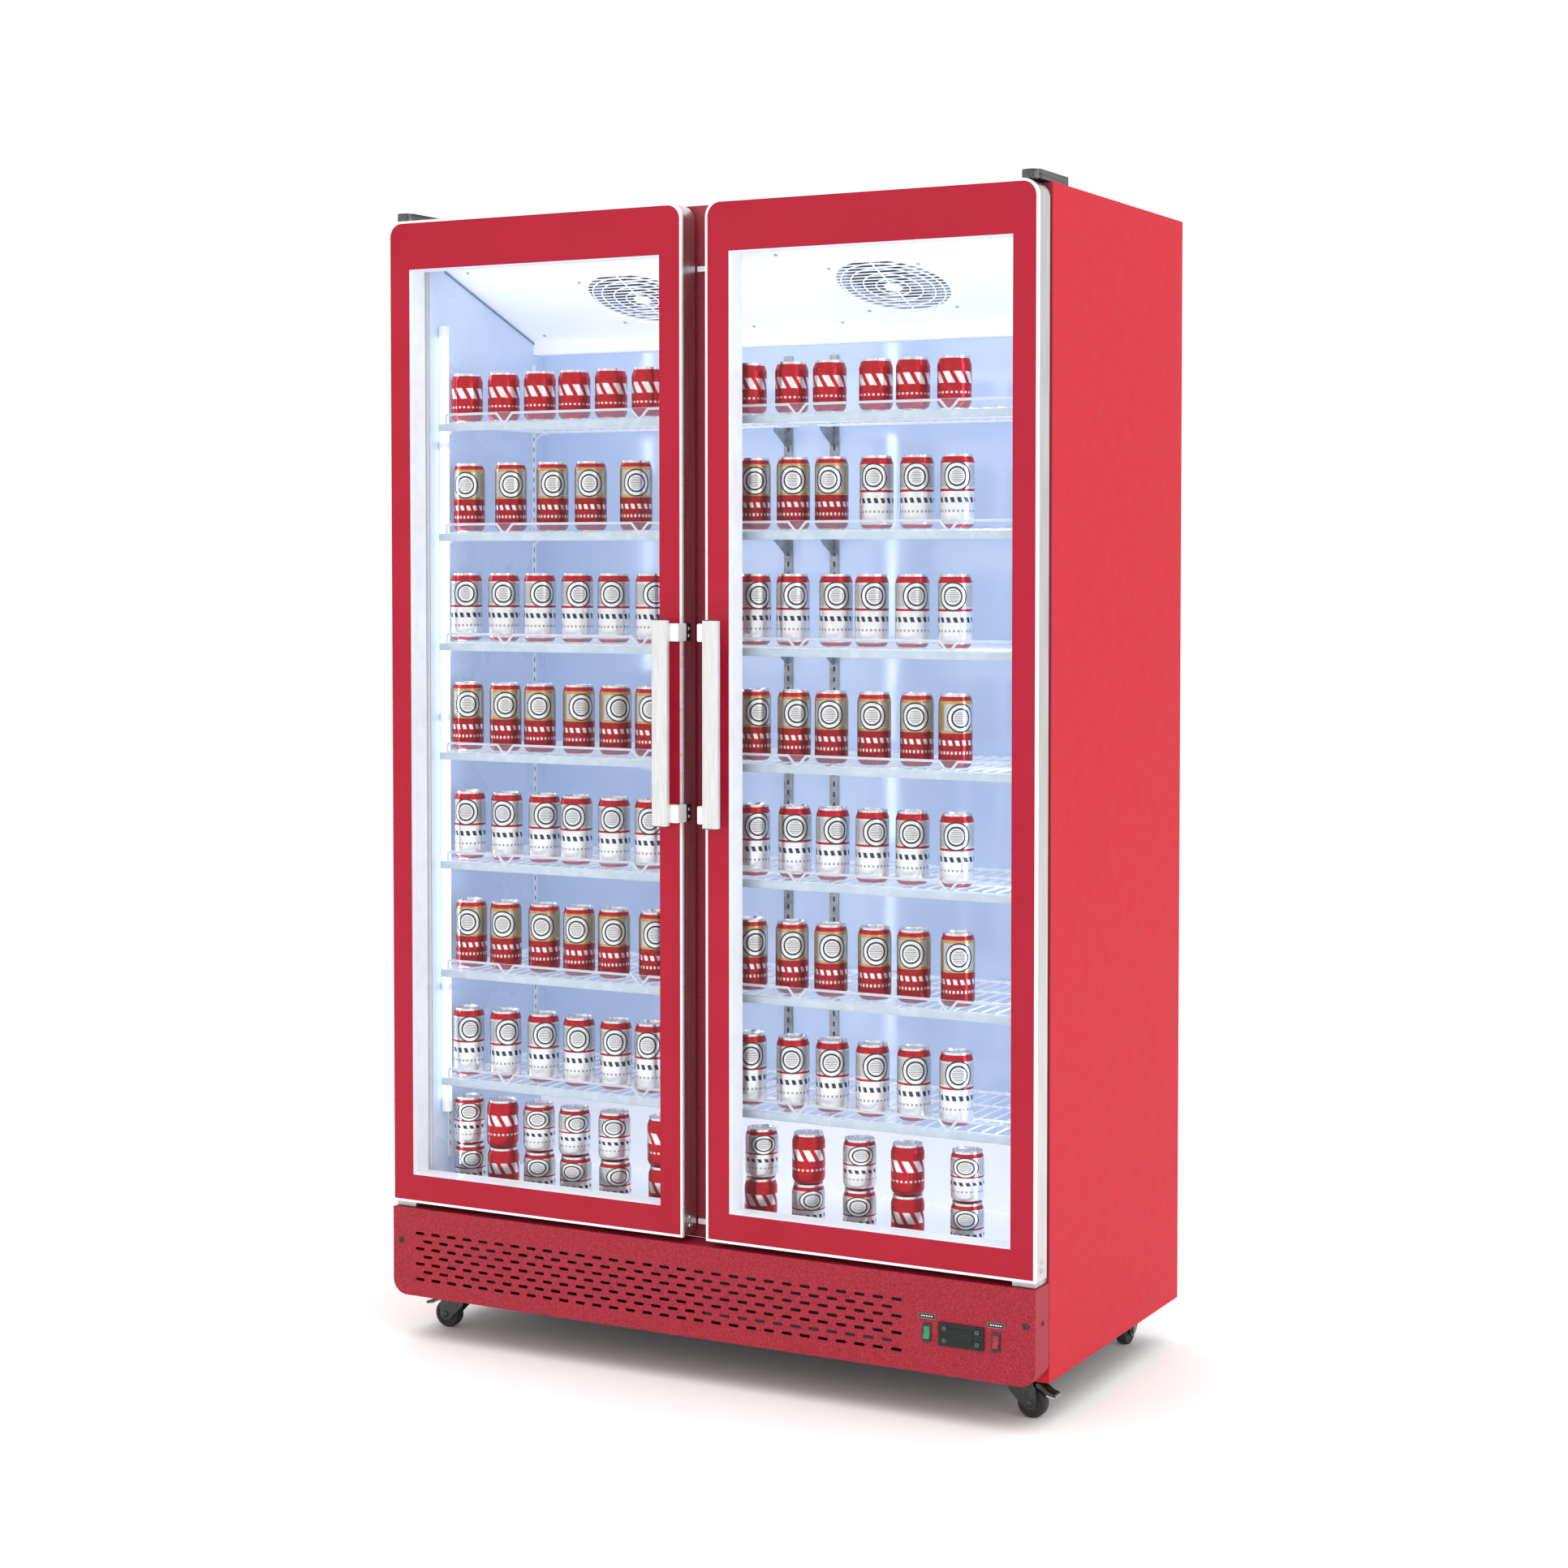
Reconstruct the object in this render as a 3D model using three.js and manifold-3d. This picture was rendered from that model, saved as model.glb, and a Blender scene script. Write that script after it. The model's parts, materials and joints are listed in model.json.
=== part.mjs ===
// Two-door upright glass-door beverage cooler on casters.
// Millimetres, +Z up, front towards -Y, origin on the floor at the middle of the footprint.
import * as THREE from 'three';
import { mergeGeometries, mergeVertices } from 'three/addons/utils/BufferGeometryUtils.js';
import Module from 'manifold-3d';

const wasm = await Module();
wasm.setup();

// ---------------------------------------------------------------- driving dimensions
const GAP = 0.3; // clearance between neighbouring pieces
const WIDTH = 1250;
const CABINET = { front: -254, back: 345, bottom: 74, top: 2000 };
const WALL = 45;
const ROOF = 60;
const SKIN = 1; // sheet thickness of the foam-filled panels
const INNER = WIDTH / 2 - WALL; // half width of the cold room

const DOOR = {
  width: 602, front: -311, thick: 45, bottom: 249, corner: 28,
  rim: 4, stile: 40, topRail: 86, bottomRail: 50, glassDepth: 14.4, pivotInset: 22,
};
DOOR.pivotY = DOOR.front + DOOR.thick / 2;
const PIN_RADIUS = 4;
const PIN_CLEARANCE = 0.35;
const PIN_DEPTH = 24;

const HANDLE = {
  length: 350, width: 30, thick: 12, bottom: 950, inset: 26, front: -345,
  block: 30, blockInset: 7, blockReach: 10, leg: 4.7, legDepth: 24,
};
const TOP_HINGE = { width: 34, height: 15, front: -302, back: -178, inset: 22 };
const BOTTOM_HINGE = { width: 40, thick: 8, front: -303 };

const KICK = { bottom: 80, top: 238, depth: 55, sheet: 2, corner: 28 };
const SLOT = {
  length: 20, height: 5.5, pitch: 33.8, rowPitch: 13.8, rows: 7, perRow: 29, left: -577, low: 111,
};
const CONTROLLER = {
  x: 496, z: 148, width: 80, height: 38, proud: 3, depth: 14, rim: 4,
  keyX: 29, keyZ: 10, keySize: 7, keyProud: 1.2, keyDepth: 5,
};
const ROCKER = {
  lightX: 435, powerX: 557, z: 146.5, width: 10, half: 10, tilt: 9, holeWidth: 12, holeHeight: 28,
};

const SHELF = {
  count: 7, top: 1648, pitch: 197, width: 560, inset: 6, front: -236, back: 112, thick: 4, rail: 22, lip: 3,
};
const DUCT = { front: 120, thick: 1.5 };
const MULLION = { half: 40, depth: 16 };
const TRAY = { sheet: 4, lip: 28 };
const DECK = { bottom: 215, top: 252, riserFront: 106, riserTop: 370 };
const COVER = { frontY: -206, frontZ: 1925, rearY: 88, rearZ: 1815, lipZ: 1790, sheet: 2.5 };
const FAN = { x: 250, along: 158, hole: 100, tip: 88, hub: 27, blades: 5, depth: 16, lift: 9, grille: 115 };
const EVAPORATOR = { halfWidth: 420, front: 160, back: 290, low: 1802, high: 1930, fins: 24 };
const CONDENSER = { x: -250, halfWidth: 200, front: -232, depth: 32, low: 84, high: 204, fins: 20 };
const CONDENSER_FAN = {
  hole: 55, tip: 48, hub: 16, depth: 14, shroudY: -192, sheet: 3, rotorY: -172, z: 144,
};

// The compressor's place, its foot plate, and its outline as radius and height above the floor.
const COMPRESSOR = { x: 330, y: 224, footX: 90, footY: 66, footLow: 86, footHigh: 93 };
const COMPRESSOR_OUTLINE = [
  [0, 92], [64, 92], [72, 104], [72, 150], [78, 152], [78, 158],
  [72, 160], [72, 214], [58, 246], [30, 262], [0, 266],
];

const CASTER = {
  x: 555, frontY: -205, rearY: 290, trail: 22, radius: 25, width: 20, axle: 3,
  plateX: 49, plateY: 62, plateThick: 4, top: 69.7, cheek: 12.5, cheekThick: 2.5,
};

// The brake lever from the side: distance from the swivel towards the lever's tip, and height.
const BRAKE_OUTLINE = [
  [31, 53], [37, 50], [46, 45.5], [52, 40.5], [62, 38], [66, 40.5],
  [64, 44], [54, 47], [46, 53], [38, 59], [31, 59],
];

// ---------------------------------------------------------------- shape helpers
function toSolid(geometry) {
  const bare = geometry.clone();
  bare.deleteAttribute('normal');
  bare.deleteAttribute('uv');
  const merged = mergeVertices(bare, 1e-4);
  return new wasm.Manifold(new wasm.Mesh({
    numProp: 3,
    vertProperties: new Float32Array(merged.attributes.position.array),
    triVerts: new Uint32Array(merged.index.array),
  }));
}

function toGeometry(solid) {
  const mesh = solid.getMesh();
  const geometry = new THREE.BufferGeometry();
  geometry.setAttribute('position', new THREE.BufferAttribute(new Float32Array(mesh.vertProperties), 3));
  geometry.setIndex(new THREE.BufferAttribute(new Uint32Array(mesh.triVerts), 1));
  return geometry;
}

function join(first, ...others) {
  return toGeometry(others.reduce((sum, next) => sum.add(toSolid(next)), toSolid(first)));
}

function cut(first, ...others) {
  return toGeometry(others.reduce((rest, next) => rest.subtract(toSolid(next)), toSolid(first)));
}

function box(x0, x1, y0, y1, z0, z1) {
  const geometry = new THREE.BoxGeometry(x1 - x0, y1 - y0, z1 - z0);
  return geometry.translate((x0 + x1) / 2, (y0 + y1) / 2, (z0 + z1) / 2);
}

function extrude(shape, depth, curveSegments = 6) {
  return new THREE.ExtrudeGeometry(shape, { depth, bevelEnabled: false, curveSegments });
}

// A shape drawn in (x, z), filling y0 to y1.
function prismY(shape, y0, y1, curveSegments) {
  const turn = new THREE.Matrix4().makeBasis(
    new THREE.Vector3(1, 0, 0), new THREE.Vector3(0, 0, 1), new THREE.Vector3(0, -1, 0),
  );
  return extrude(shape, y1 - y0, curveSegments).applyMatrix4(turn).translate(0, y1, 0);
}

// A shape drawn in (y, z), filling x0 to x1.
function prismX(shape, x0, x1, curveSegments) {
  const turn = new THREE.Matrix4().makeBasis(
    new THREE.Vector3(0, 1, 0), new THREE.Vector3(0, 0, 1), new THREE.Vector3(1, 0, 0),
  );
  return extrude(shape, x1 - x0, curveSegments).applyMatrix4(turn).translate(x0, 0, 0);
}

function polygon(points) {
  return new THREE.Shape(points.map(([u, v]) => new THREE.Vector2(u, v)));
}

function rodZ(radius, z0, z1, x = 0, y = 0, segments = 16) {
  const geometry = new THREE.CylinderGeometry(radius, radius, z1 - z0, segments);
  return geometry.rotateX(Math.PI / 2).translate(x, y, (z0 + z1) / 2);
}

// A rectangle in (u, v) with its top corners or its bottom corners rounded.
function roundedPlate(u0, u1, v0, v1, radius, roundTop) {
  const shape = new THREE.Shape();
  if (roundTop) {
    shape.moveTo(u0, v0).lineTo(u1, v0).lineTo(u1, v1 - radius);
    shape.absarc(u1 - radius, v1 - radius, radius, 0, Math.PI / 2, false);
    shape.lineTo(u0 + radius, v1);
    shape.absarc(u0 + radius, v1 - radius, radius, Math.PI / 2, Math.PI, false);
  } else {
    shape.moveTo(u1, v1).lineTo(u0, v1).lineTo(u0, v0 + radius);
    shape.absarc(u0 + radius, v0 + radius, radius, Math.PI, Math.PI * 1.5, false);
    shape.lineTo(u1 - radius, v0);
    shape.absarc(u1 - radius, v0 + radius, radius, Math.PI * 1.5, Math.PI * 2, false);
  }
  shape.closePath();
  return shape;
}

function circlePath(u, v, radius) {
  return new THREE.Path().absarc(u, v, radius, 0, Math.PI * 2, true);
}

function disc(radius) {
  return new THREE.Shape().absarc(0, 0, radius, 0, Math.PI * 2, false);
}

// ---------------------------------------------------------------- materials
const FINISHES = {
  redPanel: { color: 0xd9404c, roughness: 0.45, metalness: 0.1 },
  redSpeckle: { color: 0xb0283c, roughness: 0.6, metalness: 0.1 },
  darkRed: { color: 0x7c1a2a, roughness: 0.5, metalness: 0.1 },
  liner: { color: 0xeaf0fb, roughness: 0.4, metalness: 0 },
  zinc: { color: 0xa9adb0, roughness: 0.5, metalness: 0.7 },
  doorFrame: { color: 0xdedfe0, roughness: 0.3, metalness: 0.6 },
  glass: { color: 0xdfeef5, roughness: 0.05, metalness: 0, transparent: true, opacity: 0.35 },
  handle: { color: 0xc3c5c6, roughness: 0.35, metalness: 0.8 },
  gunmetal: { color: 0x5b585b, roughness: 0.35, metalness: 0.8 },
  coil: { color: 0xb8b2a8, roughness: 0.4, metalness: 0.8 },
  black: { color: 0x17191a, roughness: 0.5, metalness: 0 },
  wire: { color: 0xf4f6f8, roughness: 0.35, metalness: 0 },
  green: { color: 0x1f9a55, roughness: 0.3, metalness: 0 },
  red: { color: 0xa01722, roughness: 0.3, metalness: 0 },
};

const cooler = new THREE.Group();

function addPiece(name, geometry, finish, parent = cooler) {
  const piece = new THREE.Mesh(geometry, new THREE.MeshStandardMaterial(FINISHES[finish]));
  piece.name = name;
  parent.add(piece);
  return piece;
}

// ---------------------------------------------------------------- cabinet
function addCabinet() {
  const { front, back, bottom, top } = CABINET;
  const outer = WIDTH / 2;
  const inner = INNER - GAP;
  for (const [side, name] of [[-1, 'left_side_wall'], [1, 'right_side_wall']]) {
    const shell = box(INNER, outer, front, back, bottom, top);
    const foam = box(INNER + SKIN, outer - SKIN, front + SKIN, back - SKIN, bottom - SKIN, top - SKIN);
    const wall = cut(shell, foam);
    addPiece(name, side > 0 ? wall : wall.rotateZ(Math.PI).translate(0, front + back, 0), 'redPanel');
  }
  const roof = box(-inner, inner, front, back, top - ROOF, top);
  const roofFoam = box(-outer, outer, front + SKIN, back - SKIN, top - ROOF + SKIN, top - SKIN);
  addPiece('top_wall', cut(roof, roofFoam), 'redPanel');

  const rearTop = top - ROOF - GAP;
  const rear = box(-inner, inner, back - WALL, back, DECK.bottom, rearTop);
  const rearFoam = box(-outer, outer, back - WALL + SKIN, back - SKIN, DECK.bottom + SKIN, rearTop - SKIN);
  addPiece('rear_wall', cut(rear, rearFoam), 'redPanel');

  const post = box(-MULLION.half, MULLION.half, front, front + MULLION.depth, DECK.top + GAP, rearTop);
  addPiece('mullion', post, 'darkRed');
  addFloorDeck(inner);
  addBaseTray(inner);
}

function addFloorDeck(inner) {
  const thick = DECK.top - DECK.bottom;
  const rearEdge = CABINET.back - WALL - GAP;
  const profile = polygon([
    [CABINET.front, DECK.bottom], [DECK.riserFront + thick, DECK.bottom],
    [DECK.riserFront + thick, DECK.riserTop - thick], [rearEdge, DECK.riserTop - thick],
    [rearEdge, DECK.riserTop], [DECK.riserFront, DECK.riserTop],
    [DECK.riserFront, DECK.top], [CABINET.front, DECK.top],
  ]);
  addPiece('floor_deck', prismX(profile, -inner, inner), 'liner');
}

function addBaseTray(inner) {
  const low = CABINET.bottom;
  const { sheet, lip } = TRAY;
  const rearEdge = CABINET.back - sheet;
  const profile = polygon([
    [CABINET.front, low], [rearEdge, low], [rearEdge, low + lip], [rearEdge - sheet, low + lip],
    [rearEdge - sheet, low + sheet], [CABINET.front + sheet, low + sheet],
    [CABINET.front + sheet, low + lip], [CABINET.front, low + lip],
  ]);
  const plates = casterPlaces().map(({ x, y }) => {
    const halfX = CASTER.plateX / 2;
    const halfY = CASTER.plateY / 2;
    return box(x - halfX, x + halfX, y - halfY, y + halfY, low - CASTER.plateThick, low + 1);
  });
  addPiece('base_tray', join(prismX(profile, -inner, inner), ...plates), 'zinc');
}

// ---------------------------------------------------------------- cold room
function addColdRoom() {
  const inner = INNER - GAP;
  const ductBack = DUCT.front + DUCT.thick;
  const duct = box(-inner, inner, DUCT.front, ductBack, DECK.riserTop + GAP, COVER.lipZ - GAP);
  addPiece('duct_panel', duct, 'liner');

  const holes = [-1, 1].map((side) => onSlope(rodZ(FAN.hole, -20, 20, 0, 0, 32), side * FAN.x));
  addPiece('evaporator_cover', cut(prismX(coverProfile(), -inner, inner), ...holes), 'liner');
  for (const [side, name] of [[-1, 'left'], [1, 'right']]) {
    addPiece(`fan_grille_${name}`, onSlope(grille(), side * FAN.x), 'liner');
    const rotor = fanRotor(FAN.tip, FAN.hub, FAN.depth).translate(0, 0, FAN.lift);
    addPiece(`fan_rotor_${name}`, onSlope(rotor, side * FAN.x), 'black');
  }
  const { halfWidth, front, back, low, high, fins } = EVAPORATOR;
  addPiece('evaporator_coil', finBlock(-halfWidth, halfWidth, front, back, low, high, fins), 'coil');
}

// The sloping cover: down to the rear, a short drop, then a ledge back to the duct panel.
function coverProfile() {
  const { frontY, frontZ, rearY, rearZ, lipZ, sheet } = COVER;
  const reach = DUCT.front + DUCT.thick;
  return polygon([
    [frontY, frontZ], [rearY, rearZ], [rearY, lipZ], [reach, lipZ],
    [reach, lipZ + sheet], [rearY + sheet, lipZ + sheet],
    [rearY + sheet, rearZ + sheet], [frontY, frontZ + sheet],
  ]);
}

// Places a piece drawn round the origin, facing +Z, on the middle of the slope at x.
function onSlope(geometry, x) {
  const { frontY, frontZ, rearY, rearZ } = COVER;
  const slope = Math.atan2(frontZ - rearZ, rearY - frontY);
  const y = frontY + FAN.along * Math.cos(slope);
  const z = frontZ - FAN.along * Math.sin(slope);
  return geometry.rotateX(-slope).translate(x, y, z);
}

// A flat wire guard: rings joined by cross bars, below the cover.
function grille() {
  const thick = 3;
  const rings = [FAN.grille, 82, 48].map((radius, index) => {
    const ring = disc(radius);
    ring.holes.push(circlePath(0, 0, radius - (index === 0 ? 12 : 5)));
    return extrude(ring, thick, 10);
  });
  const hub = extrude(disc(12), thick, 6);
  const bars = [0, 90].map((angle) => {
    const bar = box(-FAN.grille + 6, FAN.grille - 6, -2, 2, 0, thick);
    return bar.rotateZ(THREE.MathUtils.degToRad(angle));
  });
  return join(hub, ...bars, ...rings).translate(0, 0, -thick - GAP);
}

// A hub with flat pitched blades, turning about Z, from z = 0 to z = depth.
function fanRotor(tip, hub, depth) {
  const blades = [];
  for (let index = 0; index < FAN.blades; index += 1) {
    const blade = box(hub - 3, tip - 2, -tip * 0.28, tip * 0.28, -0.8, 0.8);
    blade.rotateX(THREE.MathUtils.degToRad(18)).translate(0, 0, depth / 2);
    blades.push(blade.rotateZ((index * Math.PI * 2) / FAN.blades));
  }
  return join(rodZ(hub, 0, depth, 0, 0, 20), ...blades);
}

// A tube-and-fin block: a solid core with shallow fins along its front.
function finBlock(x0, x1, y0, y1, z0, z1, fins) {
  const points = [[x0, y1], [x0, y0]];
  const pitch = (x1 - x0) / (fins * 2);
  for (let index = 1; index < fins * 2; index += 1) {
    const edge = x0 + index * pitch;
    const out = index % 2 === 1;
    points.push([edge, out ? y0 : y0 + 5], [edge, out ? y0 + 5 : y0]);
  }
  points.push([x1, y0 + 5], [x1, y1]);
  return extrude(polygon(points), z1 - z0).translate(0, 0, z0);
}

// ---------------------------------------------------------------- shelves
function addShelves() {
  const { front, back, thick, rail, lip } = SHELF;
  const profile = polygon([
    [front, 0], [front, -rail], [front + lip, -rail], [front + lip, -thick], [back, -thick], [back, 0],
  ]);
  for (const [side, name] of [[-1, 'left'], [1, 'right']]) {
    const near = side < 0 ? -INNER + SHELF.inset : INNER - SHELF.inset - SHELF.width;
    for (let index = 0; index < SHELF.count; index += 1) {
      const slab = prismX(profile, near, near + SHELF.width);
      const shelf = addPiece(`shelf_${name}_${index + 1}`, slab, 'wire');
      shelf.position.z = SHELF.top - index * SHELF.pitch;
    }
  }
}

// ---------------------------------------------------------------- doors
// Each door is drawn round its own hinge axis, with its free edge towards +X, then mirrored for the right.
function addDoors() {
  for (const [side, name] of [[-1, 'left'], [1, 'right']]) {
    const door = new THREE.Group();
    door.position.set(side * (WIDTH / 2 - DOOR.pivotInset), DOOR.pivotY, 0);
    cooler.add(door);
    addPiece(`${name}_door_frame`, sided(doorFrame(), side), 'doorFrame', door);
    addPiece(`${name}_door_glass`, sided(doorGlass(), side), 'glass', door);
    addPiece(`${name}_door_handle`, sided(doorHandle(), side), 'handle', door);
  }
}

// Mirrors a geometry across x = 0 for the right-hand side, keeping its faces pointing out.
function sided(geometry, side) {
  if (side < 0) return geometry;
  const mirror = geometry.index ? geometry.toNonIndexed() : geometry;
  mirror.scale(-1, 1, 1);
  const position = mirror.attributes.position;
  const flipped = new Float32Array(position.count * 3);
  for (let index = 0; index < position.count; index += 1) {
    const from = index - (index % 3) + (2 - (index % 3));
    flipped.set([position.getX(from), position.getY(from), position.getZ(from)], index * 3);
  }
  const result = new THREE.BufferGeometry();
  result.setAttribute('position', new THREE.BufferAttribute(flipped, 3));
  return result;
}

function doorFrame() {
  const x0 = -DOOR.pivotInset;
  const x1 = x0 + DOOR.width;
  const half = DOOR.thick / 2;
  const inset = DOOR.rim;
  const body = prismY(roundedPlate(x0, x1, DOOR.bottom, CABINET.top, DOOR.corner, true), -half, half);
  const seat = roundedPlate(
    x0 + inset, x1 - inset, DOOR.bottom + inset, CABINET.top - inset, DOOR.corner - inset, true,
  );
  const rebate = prismY(seat, -half - 1, -half + DOOR.glassDepth + GAP * 2);
  const window = box(
    x0 + inset + DOOR.stile, x1 - inset - DOOR.stile, -half - 1, half + 1,
    DOOR.bottom + DOOR.bottomRail, CABINET.top - DOOR.topRail,
  );
  const bore = PIN_RADIUS + PIN_CLEARANCE;
  const topBore = rodZ(bore, CABINET.top - PIN_DEPTH - 1, CABINET.top + 1);
  const bottomBore = rodZ(bore, DOOR.bottom - 1, DOOR.bottom + PIN_DEPTH + 1);
  return cut(body, rebate, window, topBore, bottomBore);
}

function doorGlass() {
  const inset = DOOR.rim + GAP;
  const x0 = -DOOR.pivotInset + inset;
  const x1 = -DOOR.pivotInset + DOOR.width - inset;
  const front = -DOOR.thick / 2 + GAP;
  const pane = roundedPlate(x0, x1, DOOR.bottom + inset, CABINET.top - inset, DOOR.corner - inset, true);
  return prismY(pane, front, front + DOOR.glassDepth);
}

function doorHandle() {
  const freeEdge = DOOR.width - DOOR.pivotInset;
  const faceY = DOOR.front - DOOR.pivotY;
  const barFront = HANDLE.front - DOOR.pivotY;
  const middle = freeEdge - HANDLE.inset;
  const top = HANDLE.bottom + HANDLE.length;
  const half = HANDLE.width / 2;
  const { block, blockInset, blockReach, leg, legDepth, thick, bottom } = HANDLE;
  const bar = box(middle - half, middle + half, barFront, barFront + thick, bottom, top);
  const blocks = [bottom + blockInset, top - blockInset - block].flatMap((z) => [
    box(middle - blockReach, freeEdge + leg, barFront + 4, faceY - GAP, z, z + block),
    box(freeEdge + GAP, freeEdge + leg, faceY - 1, faceY + legDepth, z, z + block),
  ]);
  return join(bar, ...blocks);
}

// ---------------------------------------------------------------- hinges
function addHinges() {
  for (const [side, name] of [[-1, 'left'], [1, 'right']]) {
    const pivotX = side * (WIDTH / 2 - DOOR.pivotInset);
    addPiece(`top_hinge_${name}`, sided(topHinge(), side).translate(pivotX, 0, 0), 'gunmetal');
    addPiece(`bottom_hinge_${name}`, sided(bottomHinge(), side).translate(pivotX, 0, 0), 'gunmetal');
  }
}

function topHinge() {
  const low = CABINET.top + GAP * 2;
  const x0 = -DOOR.pivotInset + TOP_HINGE.inset - TOP_HINGE.width / 2;
  const x1 = x0 + TOP_HINGE.width;
  const radius = TOP_HINGE.width / 2;
  const plan = new THREE.Shape();
  plan.moveTo(x1, TOP_HINGE.back).lineTo(x0, TOP_HINGE.back).lineTo(x0, TOP_HINGE.front + radius);
  plan.absarc(x0 + radius, TOP_HINGE.front + radius, radius, Math.PI, Math.PI * 2, false);
  plan.closePath();
  const body = extrude(plan, TOP_HINGE.height).translate(0, 0, low);
  return join(body, rodZ(PIN_RADIUS, CABINET.top - PIN_DEPTH, low + 1, 0, DOOR.pivotY));
}

function bottomHinge() {
  const low = KICK.top + 1;
  const high = low + BOTTOM_HINGE.thick;
  const x0 = -DOOR.pivotInset + 4;
  const plate = box(x0, x0 + BOTTOM_HINGE.width, BOTTOM_HINGE.front, CABINET.front - GAP, low, high);
  return join(plate, rodZ(PIN_RADIUS, high - 1, DOOR.bottom + PIN_DEPTH, 0, DOOR.pivotY));
}

// ---------------------------------------------------------------- kick panel and controls
function addKickPanel() {
  const half = WIDTH / 2;
  const { bottom, top, sheet, corner, depth } = KICK;
  const rim = roundedPlate(-half, half, bottom, top, corner, false);
  const inner = half - sheet;
  const hollow = roundedPlate(-inner, inner, bottom + sheet, top - sheet, corner - sheet, false);
  const back = DOOR.front + depth;
  const pan = cut(prismY(rim, DOOR.front + sheet / 2, back), prismY(hollow, DOOR.front, back + 1));
  const cutouts = [
    throughHole(CONTROLLER.x, CONTROLLER.z, CONTROLLER.width - 6, CONTROLLER.height - 6),
    throughHole(ROCKER.lightX, ROCKER.z, ROCKER.holeWidth, ROCKER.holeHeight),
    throughHole(ROCKER.powerX, ROCKER.z, ROCKER.holeWidth, ROCKER.holeHeight),
  ];
  const openings = mergeGeometries([...ventSlots(), ...cutouts]);
  const face = cut(prismY(rim, DOOR.front, DOOR.front + sheet), openings);
  addPiece('kick_panel', join(face, pan), 'redSpeckle');
}

// The block that a rectangular hole in the kick panel's face takes away.
function throughHole(x, z, width, height) {
  const past = 1;
  const halfX = width / 2;
  const halfZ = height / 2;
  const back = DOOR.front + KICK.sheet + past;
  return box(x - halfX, x + halfX, DOOR.front - past, back, z - halfZ, z + halfZ);
}

// Staggered rows of air slots; every second row has one slot fewer and starts half a pitch in.
function ventSlots() {
  const slots = [];
  for (let row = 0; row < SLOT.rows; row += 1) {
    const odd = row % 2;
    for (let column = 0; column < SLOT.perRow - odd; column += 1) {
      const x = SLOT.left + (column + odd / 2) * SLOT.pitch + SLOT.length / 2;
      slots.push(throughHole(x, SLOT.low + row * SLOT.rowPitch, SLOT.length, SLOT.height));
    }
  }
  return slots;
}

function addControls() {
  const { x, z, width, height, proud, depth, rim, keyX, keyZ, keySize, keyProud, keyDepth } = CONTROLLER;
  const front = DOOR.front - proud;
  const halfX = width / 2;
  const halfZ = height / 2;
  const flange = box(x - halfX, x + halfX, front, DOOR.front - GAP, z - halfZ, z + halfZ);
  const tubX = halfX - rim;
  const tubZ = halfZ - rim;
  const tub = box(x - tubX, x + tubX, front + 1, DOOR.front + depth, z - tubZ, z + tubZ);
  const half = keySize / 2;
  const keys = [[-1, 1, 'up'], [-1, -1, 'down'], [1, 1, 'set'], [1, -1, 'power']];
  const pockets = keys.map(([sx, sz]) => box(
    x + sx * keyX - half - GAP, x + sx * keyX + half + GAP, front - 1, front + 8,
    z + sz * keyZ - half - GAP, z + sz * keyZ + half + GAP,
  ));
  addPiece('controller_bezel', cut(join(flange, tub), ...pockets), 'black');
  for (const [sx, sz, name] of keys) {
    const key = box(-half, half, front - keyProud, front + keyDepth, -half, half);
    addPiece(`key_${name}`, key.translate(x + sx * keyX, 0, z + sz * keyZ), 'black');
  }
  addPiece('light_rocker', rocker(ROCKER.lightX), 'green');
  addPiece('power_rocker', rocker(ROCKER.powerX), 'red');
}

// A rocker paddle with a shallow V front, resting with its upper end pressed in.
function rocker(x) {
  const { half, width, tilt, z } = ROCKER;
  const profile = polygon([[-4.4, half], [-2.6, 0], [-4.4, -half], [4, -half + 3], [4, half - 3]]);
  const paddle = prismX(profile, -width / 2, width / 2);
  return paddle.rotateX(THREE.MathUtils.degToRad(-tilt)).translate(x, DOOR.front, z);
}

// ---------------------------------------------------------------- machine compartment
function addMachinery() {
  const { x, halfWidth, front, depth, low, high, fins } = CONDENSER;
  const [left, right] = [x - halfWidth, x + halfWidth];
  addPiece('condenser_coil', finBlock(left, right, front, front + depth, low, high, fins), 'coil');

  const plate = polygon([[left, low], [right, low], [right, high], [left, high]]);
  plate.holes.push(circlePath(x, CONDENSER_FAN.z, CONDENSER_FAN.hole));
  const { shroudY, sheet, rotorY, tip, hub } = CONDENSER_FAN;
  addPiece('condenser_shroud', prismY(plate, shroudY, shroudY + sheet, 12), 'black');
  const rotor = fanRotor(tip, hub, CONDENSER_FAN.depth).rotateX(-Math.PI / 2);
  addPiece('condenser_fan_rotor', rotor.translate(x, rotorY, CONDENSER_FAN.z), 'black');
  addPiece('compressor', compressor(), 'black');
}

// A welded oval-topped can on a foot plate.
function compressor() {
  const { x, y, footX, footY, footLow, footHigh } = COMPRESSOR;
  const outline = COMPRESSOR_OUTLINE.map(([radius, height]) => new THREE.Vector2(radius, height));
  const shell = new THREE.LatheGeometry(outline, 20).rotateX(Math.PI / 2).translate(x, y, 0);
  const foot = box(x - footX, x + footX, y - footY, y + footY, footLow, footHigh);
  return join(foot, shell);
}

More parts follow.
